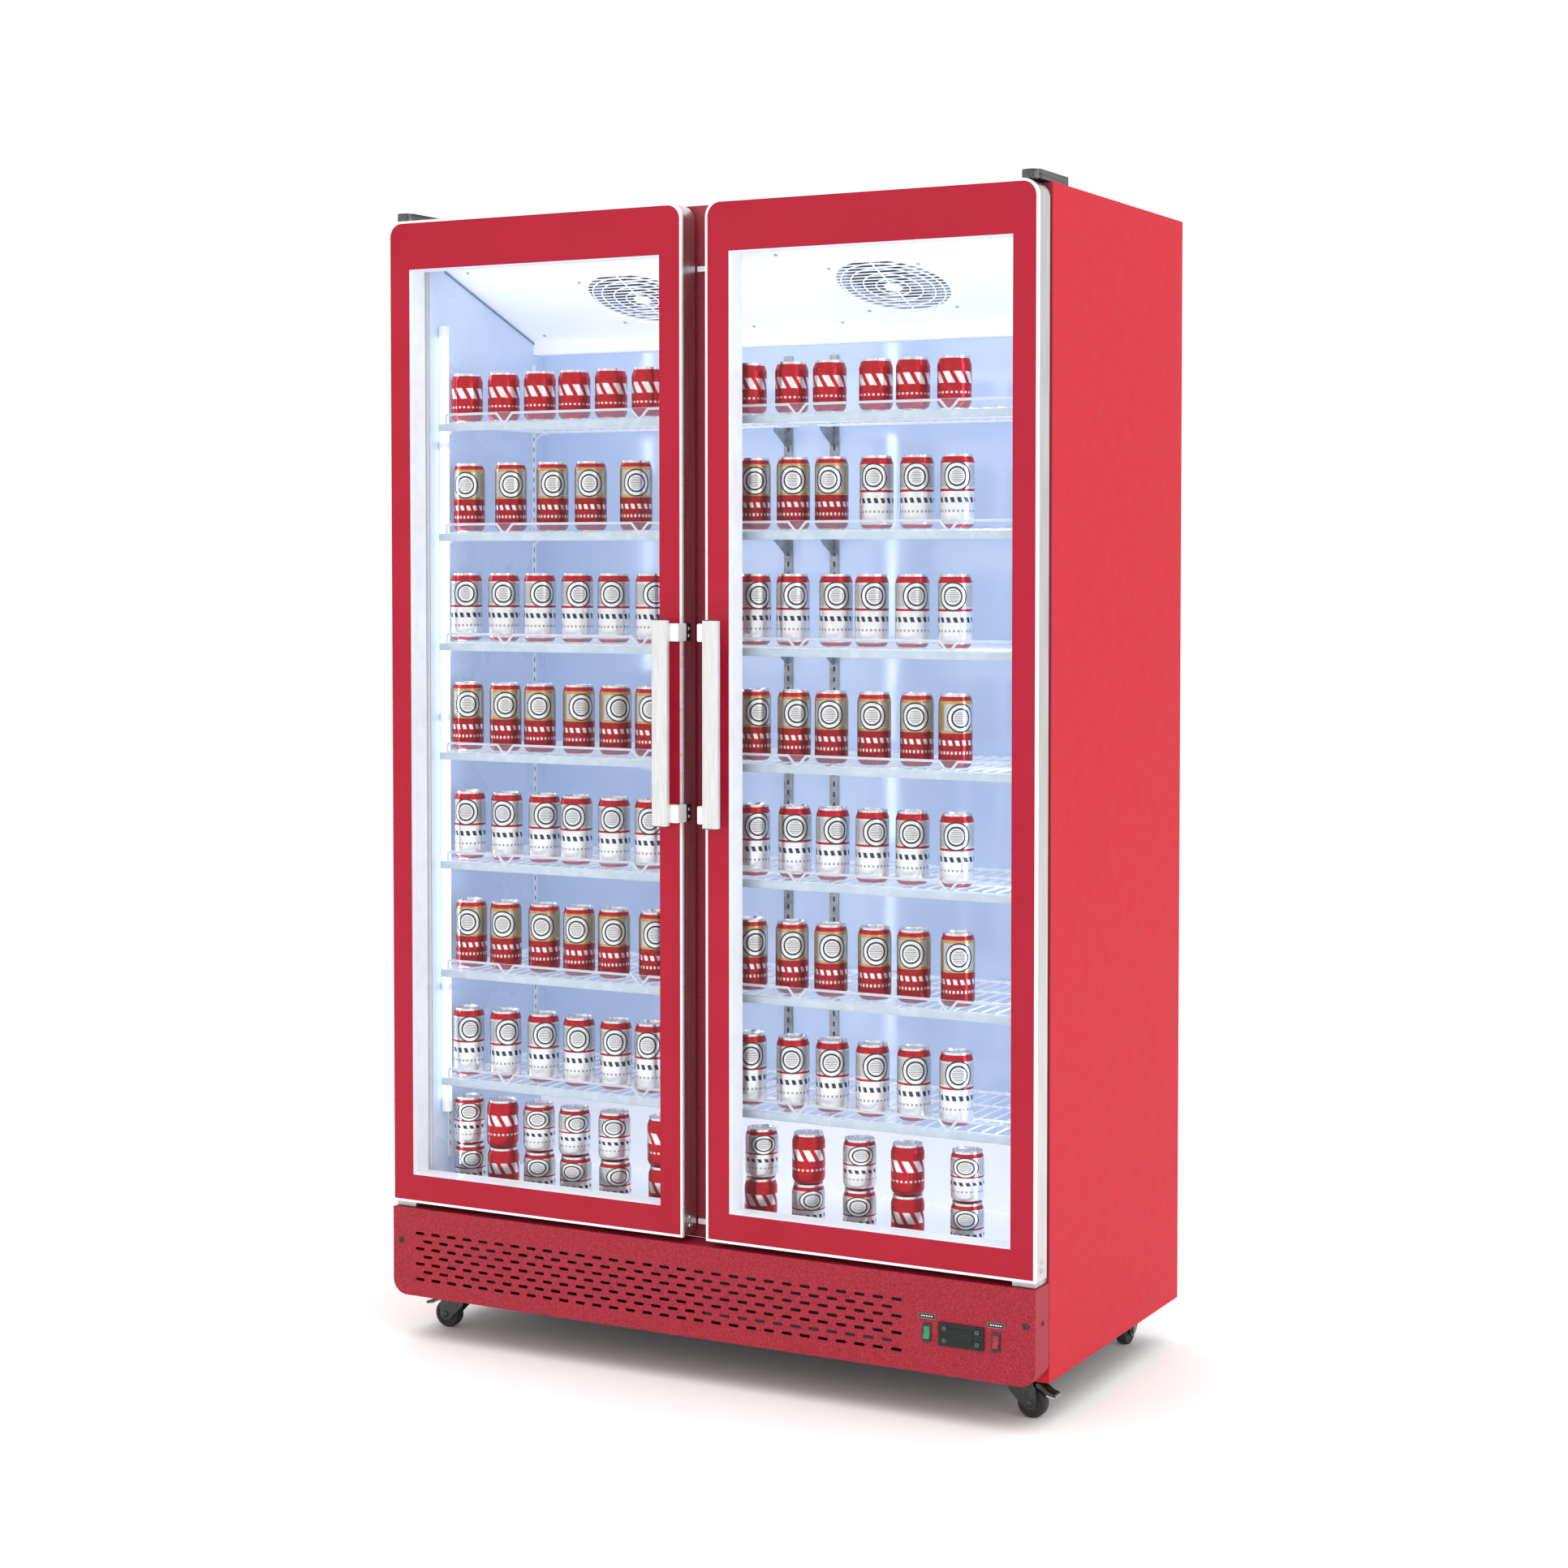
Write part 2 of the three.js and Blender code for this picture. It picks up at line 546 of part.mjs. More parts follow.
// ---------------------------------------------------------------- casters
// heading is the direction in which the wheel trails from its swivel, from +X towards +Y.
function casterPlaces() {
  return [
    { name: 'front_left', x: -CASTER.x, y: CASTER.frontY, heading: 180, brake: true },
    { name: 'front_right', x: CASTER.x, y: CASTER.frontY, heading: 0, brake: true },
    { name: 'rear_left', x: -CASTER.x, y: CASTER.rearY, heading: -90, brake: false },
    { name: 'rear_right', x: CASTER.x, y: CASTER.rearY, heading: -90, brake: false },
  ];
}

function addCasters() {
  for (const { name, x, y, heading, brake } of casterPlaces()) {
    const caster = new THREE.Group();
    caster.position.set(x, y, 0);
    caster.rotation.z = THREE.MathUtils.degToRad(heading);
    cooler.add(caster);
    addPiece(`caster_fork_${name}`, casterFork(), 'black', caster);
    addPiece(`caster_wheel_${name}`, casterWheel(), 'black', caster);
    if (brake) addPiece(`brake_lever_${name}`, brakeLever(), 'black', caster);
  }
}

function casterFork() {
  const { trail, radius, cheek, cheekThick, top, axle } = CASTER;
  const race = rodZ(23, top - 8, top, 0, 0, 20);
  const bridge = box(-16, 26, -cheek - cheekThick, cheek + cheekThick, top - 14, top - 7);
  const outline = polygon([
    [-16, top - 8], [-16, top - 26], [trail - 9, radius - 9], [trail + 9, radius - 9],
    [trail + 11, radius + 12], [26, top - 8],
  ]);
  const cheeks = [cheek, -cheek - cheekThick].map((y) => prismY(outline, y, y + cheekThick));
  const axleRod = rodZ(axle, -cheek - cheekThick / 2, cheek + cheekThick / 2, 0, 0, 12);
  axleRod.rotateX(Math.PI / 2).translate(trail, 0, radius);
  return join(race, bridge, ...cheeks, axleRod);
}

function casterWheel() {
  const { radius, width, trail, axle } = CASTER;
  const half = width / 2;
  const bore = axle + PIN_CLEARANCE;
  const section = [
    [bore, -half - 1], [9, -half - 1], [18, -half], [23, -half], [radius, -half + 4],
    [radius, half - 4], [23, half], [18, half], [9, half + 1], [bore, half + 1], [bore, -half - 1],
  ];
  const tyre = new THREE.LatheGeometry(section.map(([r, w]) => new THREE.Vector2(r, w)), 20);
  return tyre.translate(trail, 0, radius);
}

function brakeLever() {
  const reach = CASTER.cheek - GAP * 2;
  return prismY(polygon(BRAKE_OUTLINE), -reach, reach);
}

addCabinet();
addColdRoom();
addShelves();
addDoors();
addHinges();
addKickPanel();
addControls();
addMachinery();
addCasters();

export default cooler;
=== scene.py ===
import json
import math
import random

import bmesh
import bpy
from mathutils import Matrix, Vector
from mathutils.geometry import delaunay_2d_cdt


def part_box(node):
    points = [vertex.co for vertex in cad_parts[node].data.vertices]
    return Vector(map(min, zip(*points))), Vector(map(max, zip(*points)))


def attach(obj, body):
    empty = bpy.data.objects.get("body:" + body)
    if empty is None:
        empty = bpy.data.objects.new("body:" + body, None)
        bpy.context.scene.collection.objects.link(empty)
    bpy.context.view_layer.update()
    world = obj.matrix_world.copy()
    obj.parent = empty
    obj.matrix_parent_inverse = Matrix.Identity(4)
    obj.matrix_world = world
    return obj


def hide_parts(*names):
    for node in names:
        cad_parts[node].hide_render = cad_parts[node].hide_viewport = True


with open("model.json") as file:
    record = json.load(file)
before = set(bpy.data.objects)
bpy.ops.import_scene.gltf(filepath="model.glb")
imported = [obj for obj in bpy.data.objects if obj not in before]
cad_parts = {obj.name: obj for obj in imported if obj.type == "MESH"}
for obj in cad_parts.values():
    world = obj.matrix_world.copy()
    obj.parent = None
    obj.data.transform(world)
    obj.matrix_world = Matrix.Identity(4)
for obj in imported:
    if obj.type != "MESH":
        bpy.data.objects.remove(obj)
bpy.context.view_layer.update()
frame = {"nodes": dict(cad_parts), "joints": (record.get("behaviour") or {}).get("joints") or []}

MM = 0.001
SIDES = (("left", -1), ("right", 1))
SHELVES = range(1, 8)
CABINET = "cabinet"

# ------------------------------------------------------------------ places, from the frame
INSIDE = -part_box("left_side_wall")[1].x
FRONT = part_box("left_side_wall")[0].y
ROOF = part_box("top_wall")
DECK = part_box("floor_deck")
DECK_TOP = 252 * MM
RISER_FRONT = 106 * MM
RISER_TOP = DECK[1].z
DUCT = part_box("duct_panel")
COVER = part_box("evaporator_cover")
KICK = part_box("kick_panel")
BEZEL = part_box("controller_bezel")
DOOR = {name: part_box(f"{name}_door_frame") for name, _ in SIDES}
GLASS_FRONT, GLASS_BACK = (corner.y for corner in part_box("left_door_glass"))
COVER_HIGH, COVER_LOW, COVER_BACK = 1925 * MM, 1815 * MM, 88 * MM
SLOPE = math.atan2(110, 294)
FAN_X = 250 * MM
LINER_SKIN = 1.2 * MM
FACE_HALF, FACE_BOTTOM, FACE_TOP = 624.6 * MM, 238.5 * MM, 1999.5 * MM
BAY_NEAR, BAY_FAR, BAY_BOTTOM, BAY_TOP = 40.5 * MM, 578.5 * MM, 262 * MM, 1938 * MM
TUBE_BOTTOM, TUBE_TOP = 420 * MM, 1800 * MM
MIDDLE_PILASTER_X, SIDE_PILASTER_Y = 47 * MM, (-200 * MM, 85 * MM)
QUADRANTS = ((-1, -1), (-1, 1), (1, -1), (1, 1))
JOINTS = {joint["name"]: joint for joint in frame["joints"]}
CASTERS = ("front_left", "front_right", "rear_left", "rear_right")


# ------------------------------------------------------------------ camera, lights and floor
def aim(obj, yaw, tilt):
    """Points obj along +Y turned yaw degrees towards -X, and tilt degrees down."""
    a, t = math.radians(yaw), math.radians(tilt)
    forward = Vector((-math.sin(a) * math.cos(t), math.cos(a) * math.cos(t), -math.sin(t)))
    obj.rotation_euler = forward.to_track_quat("-Z", "Y").to_euler()


def add_camera():
    data = bpy.data.cameras.new("camera")
    data.sensor_width = 36
    data.lens = 63.84
    data.shift_y = -0.0795
    camera = bpy.data.objects.new("camera", data)
    camera.location = (2.33, -4.37, 1.396)
    aim(camera, 28, 2)
    bpy.context.collection.objects.link(camera)
    bpy.context.scene.camera = camera


def area_light(name, place, target, width, height, watts, colour=(1, 1, 1)):
    data = bpy.data.lights.new(name, "AREA")
    data.shape = "RECTANGLE"
    data.size, data.size_y = width, height
    data.energy = watts
    data.color = colour
    light = bpy.data.objects.new(name, data)
    light.location = place
    light.rotation_euler = (Vector(target) - Vector(place)).to_track_quat("-Z", "Y").to_euler()
    bpy.context.collection.objects.link(light)


def add_studio():
    world = bpy.data.worlds.new("studio")
    bpy.context.scene.world = world
    world.use_nodes = True
    world.node_tree.nodes["Background"].inputs["Color"].default_value = (1, 1, 1, 1)
    world.node_tree.nodes["Background"].inputs["Strength"].default_value = 1.0
    area_light("key", (4.2, -1.6, 2.6), (0, 0, 1.0), 2.5, 2.5, 28)
    area_light("top", (0, 0, 6), (0, 0, 0), 9, 9, 260)
    area_light("fill", (-1.5, -5.0, 2.2), (0, 0, 1.1), 3.0, 2.5, 10)
    bpy.context.scene.view_settings.view_transform = "Standard"

    bm = bmesh.new()
    bmesh.ops.create_grid(bm, x_segments=8, y_segments=8, size=30)
    floor = new_object("floor", bm, [MAT["floor"]])


def add_interior_light():
    """One upright lamp beside each light tube, facing across its bay, and a wash on the sloping cover."""
    cold = (0.80, 0.89, 1.0)
    for name, across in (("left", 1), ("right", -1), ("middle", 0)):
        place = Vector((-0.545 * across, FRONT + 0.04, 1.08))
        target = place + Vector((across, 0.35, 0))
        area_light(f"tube_light_{name}", place, target, 0.02, 1.55, 0.75, cold)
    area_light("cover_light", (0, -0.18, 1.72), (0, 0.02, 1.9), 0.9, 0.1, 0.3, cold)


# ------------------------------------------------------------------ materials
def material(name, colour, rough, metal=0.0, **sockets):
    """A Principled material; sockets are plain values by socket name with underscores."""
    mat = bpy.data.materials.new(name)
    mat.use_nodes = True
    shader = mat.node_tree.nodes["Principled BSDF"]
    shader.inputs["Base Color"].default_value = (*colour, 1)
    shader.inputs["Roughness"].default_value = rough
    shader.inputs["Metallic"].default_value = metal
    for key, value in sockets.items():
        shader.inputs[key.replace("_", " ")].default_value = value
    return mat


def node(mat, kind, **values):
    made = mat.node_tree.nodes.new(kind)
    for key, value in values.items():
        setattr(made, key, value)
    return made


def link(mat, output, target):
    mat.node_tree.links.new(output, target)


def calc(mat, operation, a, b=None):
    made = node(mat, "ShaderNodeMath", operation=operation)
    for slot_index, value in enumerate((a, b)):
        if value is None:
            continue
        if isinstance(value, (int, float)):
            made.inputs[slot_index].default_value = value
        else:
            link(mat, value, made.inputs[slot_index])
    return made.outputs[0]


def noise(mat, scale, detail, stretch=(1, 1, 1)):
    """Noise fixed to the piece; scale is in features a metre."""
    coord = node(mat, "ShaderNodeTexCoord")
    mapping = node(mat, "ShaderNodeMapping")
    mapping.inputs["Scale"].default_value = stretch
    texture = node(mat, "ShaderNodeTexNoise")
    texture.inputs["Scale"].default_value = scale
    texture.inputs["Detail"].default_value = detail
    link(mat, coord.outputs["Object"], mapping.inputs["Vector"])
    link(mat, mapping.outputs["Vector"], texture.inputs["Vector"])
    return texture.outputs[0]


def ramp(mat, factor, stops, blend="LINEAR"):
    made = node(mat, "ShaderNodeValToRGB")
    made.color_ramp.interpolation = blend
    elements = made.color_ramp.elements
    while len(elements) < len(stops):
        elements.new(0.5)
    for element, (place, colour) in zip(elements, stops):
        element.position = place
        element.color = (*colour, 1)
    link(mat, factor, made.inputs["Fac"])
    return made.outputs["Color"]


def vary(mat, scale, colours, rough, bump=0.0, depth=0.4 * MM, stretch=(1, 1, 1), detail=3.0):
    """Gives a material its grain: colours between two tones, roughness between two values, and bump."""
    shader = mat.node_tree.nodes["Principled BSDF"]
    factor = noise(mat, scale, detail, stretch)
    if colours:
        link(mat, ramp(mat, factor, [(0.36, colours[0]), (0.64, colours[1])]), shader.inputs["Base Color"])
    if rough:
        mapped = node(mat, "ShaderNodeMapRange")
        mapped.inputs["From Min"].default_value = 0.3
        mapped.inputs["From Max"].default_value = 0.7
        mapped.inputs["To Min"].default_value = rough[0]
        mapped.inputs["To Max"].default_value = rough[1]
        link(mat, factor, mapped.inputs["Value"])
        link(mat, mapped.outputs["Result"], shader.inputs["Roughness"])
    if bump:
        made = node(mat, "ShaderNodeBump")
        made.inputs["Strength"].default_value = bump
        made.inputs["Distance"].default_value = depth
        link(mat, factor, made.inputs["Height"])
        link(mat, made.outputs["Normal"], shader.inputs["Normal"])
    return mat


def powder_coat(name, dark, base, light, scale):
    """Textured paint: flecks of a darker and a lighter tone over the base, with a fine grain."""
    mat = material(name, base, 0.5, Specular_IOR_Level=0.3)
    shader = mat.node_tree.nodes["Principled BSDF"]
    factor = noise(mat, scale, 2.0)
    stops = [(0.35, dark), (0.43, base), (0.58, base), (0.69, light)]
    link(mat, ramp(mat, factor, stops), shader.inputs["Base Color"])
    grain = node(mat, "ShaderNodeBump")
    grain.inputs["Strength"].default_value = 0.25
    grain.inputs["Distance"].default_value = 0.3 * MM
    link(mat, factor, grain.inputs["Height"])
    link(mat, grain.outputs["Normal"], shader.inputs["Normal"])
    MAT[name] = mat


def finish(name, scale, dark, light, rough, metal=0.0, bump=0.0, depth=0.4 * MM,
           stretch=(1, 1, 1), **sockets):
    """A material whose tone runs from dark to light, and its gloss too where rough is a pair."""
    even = isinstance(rough, float)
    middle = [(a + b) / 2 for a, b in zip(dark, light)]
    mat = material(name, middle, rough if even else sum(rough) / 2, metal, **sockets)
    MAT[name] = vary(mat, scale, (dark, light), None if even else rough, bump, depth, stretch)


def brushed(name, dark, light, rough, stretch, metal=1.0):
    """Metal with a fine grain drawn out along one axis."""
    mat = material(name, light, rough[0], metal)
    MAT[name] = vary(mat, 240, (dark, light), rough, 0.12, 0.2 * MM, stretch, 6.0)


def lit(colour, strength):
    """A faint glow by emission. On the tube it is the lamp's own light. On the liner, cover, white trims and
    wires, which are no lamps, it is painted light standing in for the light of the tubes.
    """
    return {"Emission_Color": (*colour, 1), "Emission_Strength": strength}


def add_tube_glow():
    """The row of small lamps inside a clear tube, as bright cells up its length."""
    colour = (0.86, 0.94, 1.0)
    mat = material("tube", colour, 0.4, **lit(colour, 1.1))
    coord = node(mat, "ShaderNodeTexCoord")
    axes = node(mat, "ShaderNodeSeparateXYZ")
    link(mat, coord.outputs["Object"], axes.inputs["Vector"])
    turns = calc(mat, "FRACT", calc(mat, "MULTIPLY", axes.outputs["Z"], 90))
    cell = calc(mat, "ABSOLUTE", calc(mat, "SUBTRACT", turns, 0.5))
    stops = [(0.10, (1.0, 1.0, 1.0)), (0.42, (0.60, 0.72, 0.90))]
    link(mat, ramp(mat, cell, stops), mat.node_tree.nodes["Principled BSDF"].inputs["Emission Color"])
    MAT["tube"] = mat


def add_clear(name, colour, rough, scale, alpha, **sockets):
    """A clear sheet whose gloss varies a little."""
    mat = material(name, colour, sum(rough) / 2, Alpha=alpha, **sockets)
    MAT[name] = vary(mat, scale, None, rough)


def add_painted():
    finish("floor", 3, (0.99, 0.99, 0.99), (1.0, 1.0, 1.0), 0.9)
    finish("red_panel", 35, (0.54, 0.017, 0.032), (0.56, 0.019, 0.035), (0.5, 0.6), 0, 0.04, 0.3 * MM,
           Specular_IOR_Level=0.12)
    finish("red_print", 9, (0.39, 0.009, 0.028), (0.41, 0.011, 0.031), (0.26, 0.36), Specular_IOR_Level=0.18)
    powder_coat("kick", (0.12, 0.006, 0.014), (0.36, 0.012, 0.030), (0.50, 0.044, 0.066), 520)
    powder_coat("mullion", (0.20, 0.024, 0.036), (0.35, 0.036, 0.056), (0.44, 0.06, 0.085), 420)
    # Painted light: the faint glow on the liner stands in for the light of the tubes falling on it; the liner
    # is no lamp.
    finish("liner", 6, (0.58, 0.68, 0.87), (0.62, 0.72, 0.89), (0.22, 0.32), 0, 0.02,
           **lit((0.56, 0.70, 1.0), 0.10))
    # Painted light: the faint glow on the duct panel stands in for the light of the tubes; its gloss is its
    # own finish.
    finish("liner_back", 6, (0.56, 0.68, 0.91), (0.60, 0.72, 0.93), (0.08, 0.15), 0, 0.02,
           Specular_IOR_Level=1.0, **lit((0.50, 0.66, 1.0), 0.10))
    # Painted light: the glow on the cover, floor deck and fan guards stands in for the light falling on them
    # inside the cabinet.
    finish("cover", 12, (0.88, 0.90, 0.94), (0.92, 0.94, 0.96), (0.34, 0.46), 0, 0.03,
           **lit((0.88, 0.93, 1.0), 0.30))
    # Painted light: the faint glow on the white trims, hooks and fittings stands in for the light of the
    # tubes.
    finish("white", 40, (0.82, 0.85, 0.89), (0.88, 0.90, 0.93), (0.32, 0.45), 0, 0.04,
           **lit((0.85, 0.92, 1.0), 0.10))
    # Painted light: the faint glow on the shelf wires stands in for the light of the tubes.
    finish("wire", 120, (0.84, 0.87, 0.92), (0.91, 0.93, 0.96), (0.25, 0.38), 0, 0.05,
           Coat_Weight=0.4, **lit((0.85, 0.92, 1.0), 0.15))


def add_plastics():
    finish("tag_rail", 30, (0.50, 0.61, 0.71), (0.58, 0.67, 0.77), (0.2, 0.32), Coat_Weight=0.5)
    # Painted shade: a seal strip in dark blue-grey, its colour standing in for the shadow gap where the cover
    # meets the side walls.
    finish("edge_strip_and_gap_shade", 90, (0.17, 0.22, 0.32), (0.23, 0.28, 0.40), (0.4, 0.6))
    finish("panel", 700, (0.010, 0.014, 0.012), (0.020, 0.027, 0.022), (0.38, 0.55), Specular_IOR_Level=0.25)
    finish("block", 60, (0.87, 0.87, 0.87), (0.92, 0.92, 0.92), (0.26, 0.36), 0.1)
    finish("black", 160, (0.014, 0.015, 0.016), (0.028, 0.029, 0.030), (0.35, 0.52), 0, 0.1)
    finish("rubber", 260, (0.012, 0.013, 0.013), (0.028, 0.029, 0.029), (0.5, 0.72), 0, 0.2)
    finish("gasket", 140, (0.085, 0.085, 0.09), (0.12, 0.12, 0.125), (0.5, 0.68), 0, 0.08)
    finish("outline", 80, (0.23, 0.24, 0.22), (0.29, 0.30, 0.28), 0.5)
    finish("legend", 80, (0.75, 0.75, 0.75), (0.85, 0.85, 0.85), 0.5)
    finish("green", 90, (0.008, 0.19, 0.07), (0.014, 0.26, 0.11), (0.14, 0.24),
           **lit((0.02, 0.7, 0.25), 0.10))
    finish("red_lens", 90, (0.25, 0.008, 0.012), (0.34, 0.014, 0.02), (0.14, 0.24),
           **lit((0.6, 0.02, 0.02), 0.05))
    add_clear("strip", (0.62, 0.76, 0.98), (0.1, 0.2), 20, 0.08)
    add_clear("glass", (0.25, 0.31, 0.34), (0.02, 0.05), 4, 0.03, Specular_IOR_Level=0.35)
    add_tube_glow()


def add_metals():
    finish("zinc", 55, (0.40, 0.41, 0.42), (0.58, 0.59, 0.60), (0.3, 0.55), 1.0, 0.1)
    finish("pilaster", 90, (0.30, 0.32, 0.35), (0.44, 0.46, 0.49), (0.3, 0.45), 0.9, 0.08)
    finish("bead", 50, (0.82, 0.82, 0.83), (0.88, 0.88, 0.89), (0.24, 0.36), 0.35, 0.03)
    finish("steel", 200, (0.54, 0.54, 0.55), (0.68, 0.68, 0.69), (0.22, 0.36), 1.0)
    finish("copper", 60, (0.66, 0.28, 0.14), (0.84, 0.42, 0.24), (0.25, 0.45), 1.0)
    finish("tray", 40, (0.07, 0.07, 0.07), (0.13, 0.13, 0.125), (0.42, 0.6), 0.8, 0.1)
    finish("fork", 120, (0.014, 0.020, 0.017), (0.034, 0.046, 0.038), (0.24, 0.42), 0.3, 0.12,
           Coat_Weight=0.3)
    fins = (1, 0.02, 0.02)
    finish("fins", 500, (0.55, 0.55, 0.54), (0.75, 0.75, 0.74), (0.35, 0.5), 1.0, 0.2, stretch=fins)
    finish("dark_fins", 500, (0.02, 0.02, 0.02), (0.07, 0.068, 0.062), (0.4, 0.6), 0.4, 0.2, stretch=fins)
    brushed("profile", (0.52, 0.51, 0.51), (0.66, 0.65, 0.65), (0.26, 0.40), (1, 1, 0.03))
    brushed("handle", (0.60, 0.60, 0.60), (0.76, 0.76, 0.76), (0.36, 0.5), (4, 4, 0.08), 0.35)
    brushed("gunmetal", (0.075, 0.068, 0.07), (0.16, 0.15, 0.155), (0.26, 0.42), (1, 0.05, 1))
    brushed("can_metal", (0.66, 0.66, 0.67), (0.86, 0.86, 0.87), (0.2, 0.34), (1, 1, 0.2))


MAT = {}
add_painted()
add_plastics()
add_metals()


# ------------------------------------------------------------------ mesh helpers
def new_object(name, bm, mats, smooth=40):
    """Turns bm into a linked object whose faces shade smooth up to an angle in degrees."""
    bmesh.ops.recalc_face_normals(bm, faces=bm.faces)
    mesh = bpy.data.meshes.new(name)
    bm.to_mesh(mesh)
    bm.free()
    for mat in mats:
        mesh.materials.append(mat)
    mesh.polygons.foreach_set("use_smooth", [True] * len(mesh.polygons))
    mesh.set_sharp_from_angle(angle=math.radians(smooth))
    obj = bpy.data.objects.new(name, mesh)
    bpy.context.collection.objects.link(obj)
    return obj


def piece(name, bm, mats, body=CABINET, replaces=(), smooth=40):
    """A piece that rides on a body; mats names its materials in index order, with spaces between."""
    obj = new_object(name, bm, [MAT[mat] for mat in mats.split()], smooth)
    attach(obj, body)
    if replaces:
        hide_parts(*replaces)
    return obj


def add_box(bm, low, high, bevel=0.0, segments=2, index=0):
    """A box with its edges rounded by bevel."""
    low, high = Vector(low), Vector(high)
    made = bmesh.ops.create_cube(bm, size=1, matrix=Matrix.Translation((low + high) / 2)
                                 @ Matrix.Diagonal((*(high - low), 1)))
    faces = {face for vert in made["verts"] for face in vert.link_faces}
    if bevel:
        edges = list(dict.fromkeys(edge for vert in made["verts"] for edge in vert.link_edges))
        result = bmesh.ops.bevel(bm, geom=edges, offset=bevel, segments=segments, affect="EDGES")
        faces = set(result["faces"]) | {face for face in faces if face.is_valid}
    for face in faces:
        face.material_index = index
    return faces


def ring_points(centre, across, up, radius, sides):
    turns = (2 * math.pi * i / sides for i in range(sides))
    return [centre + across * (radius * math.cos(a)) + up * (radius * math.sin(a)) for a in turns]


def add_tube(bm, points, radius, sides):
    """A round wire through the points, mitred at each bend, with flat ends."""
    points = [Vector(point) for point in points]
    rings = []
    across = None
    for i, point in enumerate(points):
        before = (point - points[i - 1]).normalized() if i else None
        after = (points[i + 1] - point).normalized() if i + 1 < len(points) else None
        along = ((before or after) + (after or before)).normalized()
        if across is None:
            seed = Vector((0, 0, 1)) if abs(along.z) < 0.9 else Vector((1, 0, 0))
            across = along.cross(seed).normalized()
        across = (across - along * across.dot(along)).normalized()
        up = along.cross(across)
        stretch = 1.0 if not (before and after) else 1 / max(0.5, math.sqrt((1 + before.dot(after)) / 2))
        ring = []
        bend = (after - before) if before and after else Vector((0, 0, 0))
        bend = bend.normalized() if bend.length > 1e-6 else Vector((0, 0, 0))
        for spot in ring_points(Vector((0, 0, 0)), across, up, radius, sides):
            spot = spot + bend * (spot.dot(bend) * (stretch - 1))
            ring.append(bm.verts.new(point + spot))
        rings.append(ring)
    for a, b in zip(rings, rings[1:]):
        for i in range(sides):
            bm.faces.new((a[i], a[(i + 1) % sides], b[(i + 1) % sides], b[i]))
    for ring in (rings[0], rings[-1]):
        bm.faces.new(ring)


def add_lathe(bm, profile, matrix, sides, closed=False):
    """Turns (radius, height) points about Z, placed by matrix. A radius of 0 closes to a point."""
    rings = []
    for radius, height in profile:
        if radius < 1e-7:
            rings.append([bm.verts.new(matrix @ Vector((0, 0, height)))])
            continue
        turns = (2 * math.pi * i / sides for i in range(sides))
        ring = [matrix @ Vector((radius * math.cos(a), radius * math.sin(a), height)) for a in turns]
        rings.append([bm.verts.new(spot) for spot in ring])
    pairs = list(zip(rings, rings[1:]))
    if closed:
        pairs.append((rings[-1], rings[0]))
    for a, b in pairs:
        for i in range(sides):
            j = (i + 1) % sides
            corners = [a[i % len(a)], a[j % len(a)], b[j % len(b)], b[i % len(b)]]
            unique = list(dict.fromkeys(corners))
            if len(unique) > 2:
                bm.faces.new(unique)


def add_plate(bm, outline, holes, place, depth, index=0):
    """A plate from a 2-D outline and convex holes; place(u, v, w) gives a point, with w from 0 to depth."""
    loops = [outline, *holes]
    flat = [Vector(point) for loop in loops for point in loop]
    owner = [i for i, loop in enumerate(loops) for _ in loop]
    front = [bm.verts.new(place(p.x, p.y, 0)) for p in flat]
    back = [bm.verts.new(place(p.x, p.y, depth)) for p in flat]
    edges = []
    for loop in loops:
        start = len(edges)
        edges += [(start + i, start + (i + 1) % len(loop)) for i in range(len(loop))]
    _, _, triangles, origins, _, _ = delaunay_2d_cdt(flat, edges, [], 1, 1e-7)
    for triangle in triangles:
        a, b, c = (origins[corner][0] for corner in triangle)
        if owner[a] == owner[b] == owner[c] > 0:
            continue
        bm.faces.new((front[a], front[b], front[c])).material_index = index
        bm.faces.new((back[c], back[b], back[a])).material_index = index
    for a, b in edges:
        bm.faces.new((front[a], front[b], back[b], back[a])).material_index = index


def in_xz(y, place=Matrix.Identity(4)):
    """Places a plate drawn in (x, z) with its front at y, going back, in the frame of place."""
    return lambda u, v, w: place @ Vector((u, y + w, v))


def in_yz(x, side=1):
    """Places a plate drawn in (y, z) with one face at x, going towards +X, or -X where side is -1."""
    return lambda u, v, w: Vector((x + side * w, u, v))


def in_xy(z):
    """Places a plate drawn in (x, y) with its underside at z, going up."""
    return lambda u, v, w: Vector((u, v, z + w))


def mm(points, at=(0, 0)):
    """2-D points given in millimetres, moved to a place in metres."""
    return [(at[0] + u * MM, at[1] + v * MM) for u, v in points]


def arc(cu, cv, radius, start, end, steps):
    """Points along an arc, angles in degrees."""
    angles = (math.radians(start + (end - start) * i / steps) for i in range(steps + 1))
    return [(cu + radius * math.cos(a), cv + radius * math.sin(a)) for a in angles]


def rounded(u0, u1, v0, v1, top=0.0, bottom=0.0, steps=8):
    """A rectangle's outline with its two top and two bottom corners rounded."""
    points = []
    corners = (
        (u0, v0, bottom, 180), (u1, v0, bottom, 270), (u1, v1, top, 0), (u0, v1, top, 90),
    )
    for u, v, radius, angle in corners:
        if not radius:
            points.append((u, v))
            continue
        cu = u + radius if u == u0 else u - radius
        cv = v + radius if v == v0 else v - radius
        points += arc(cu, cv, radius, angle, angle + 90, steps)
    return points


def centred(u, v, width, height, top=0.0, bottom=0.0, steps=8):
    """A rounded outline about its centre."""
    return rounded(u - width / 2, u + width / 2, v - height / 2, v + height / 2, top, bottom, steps)


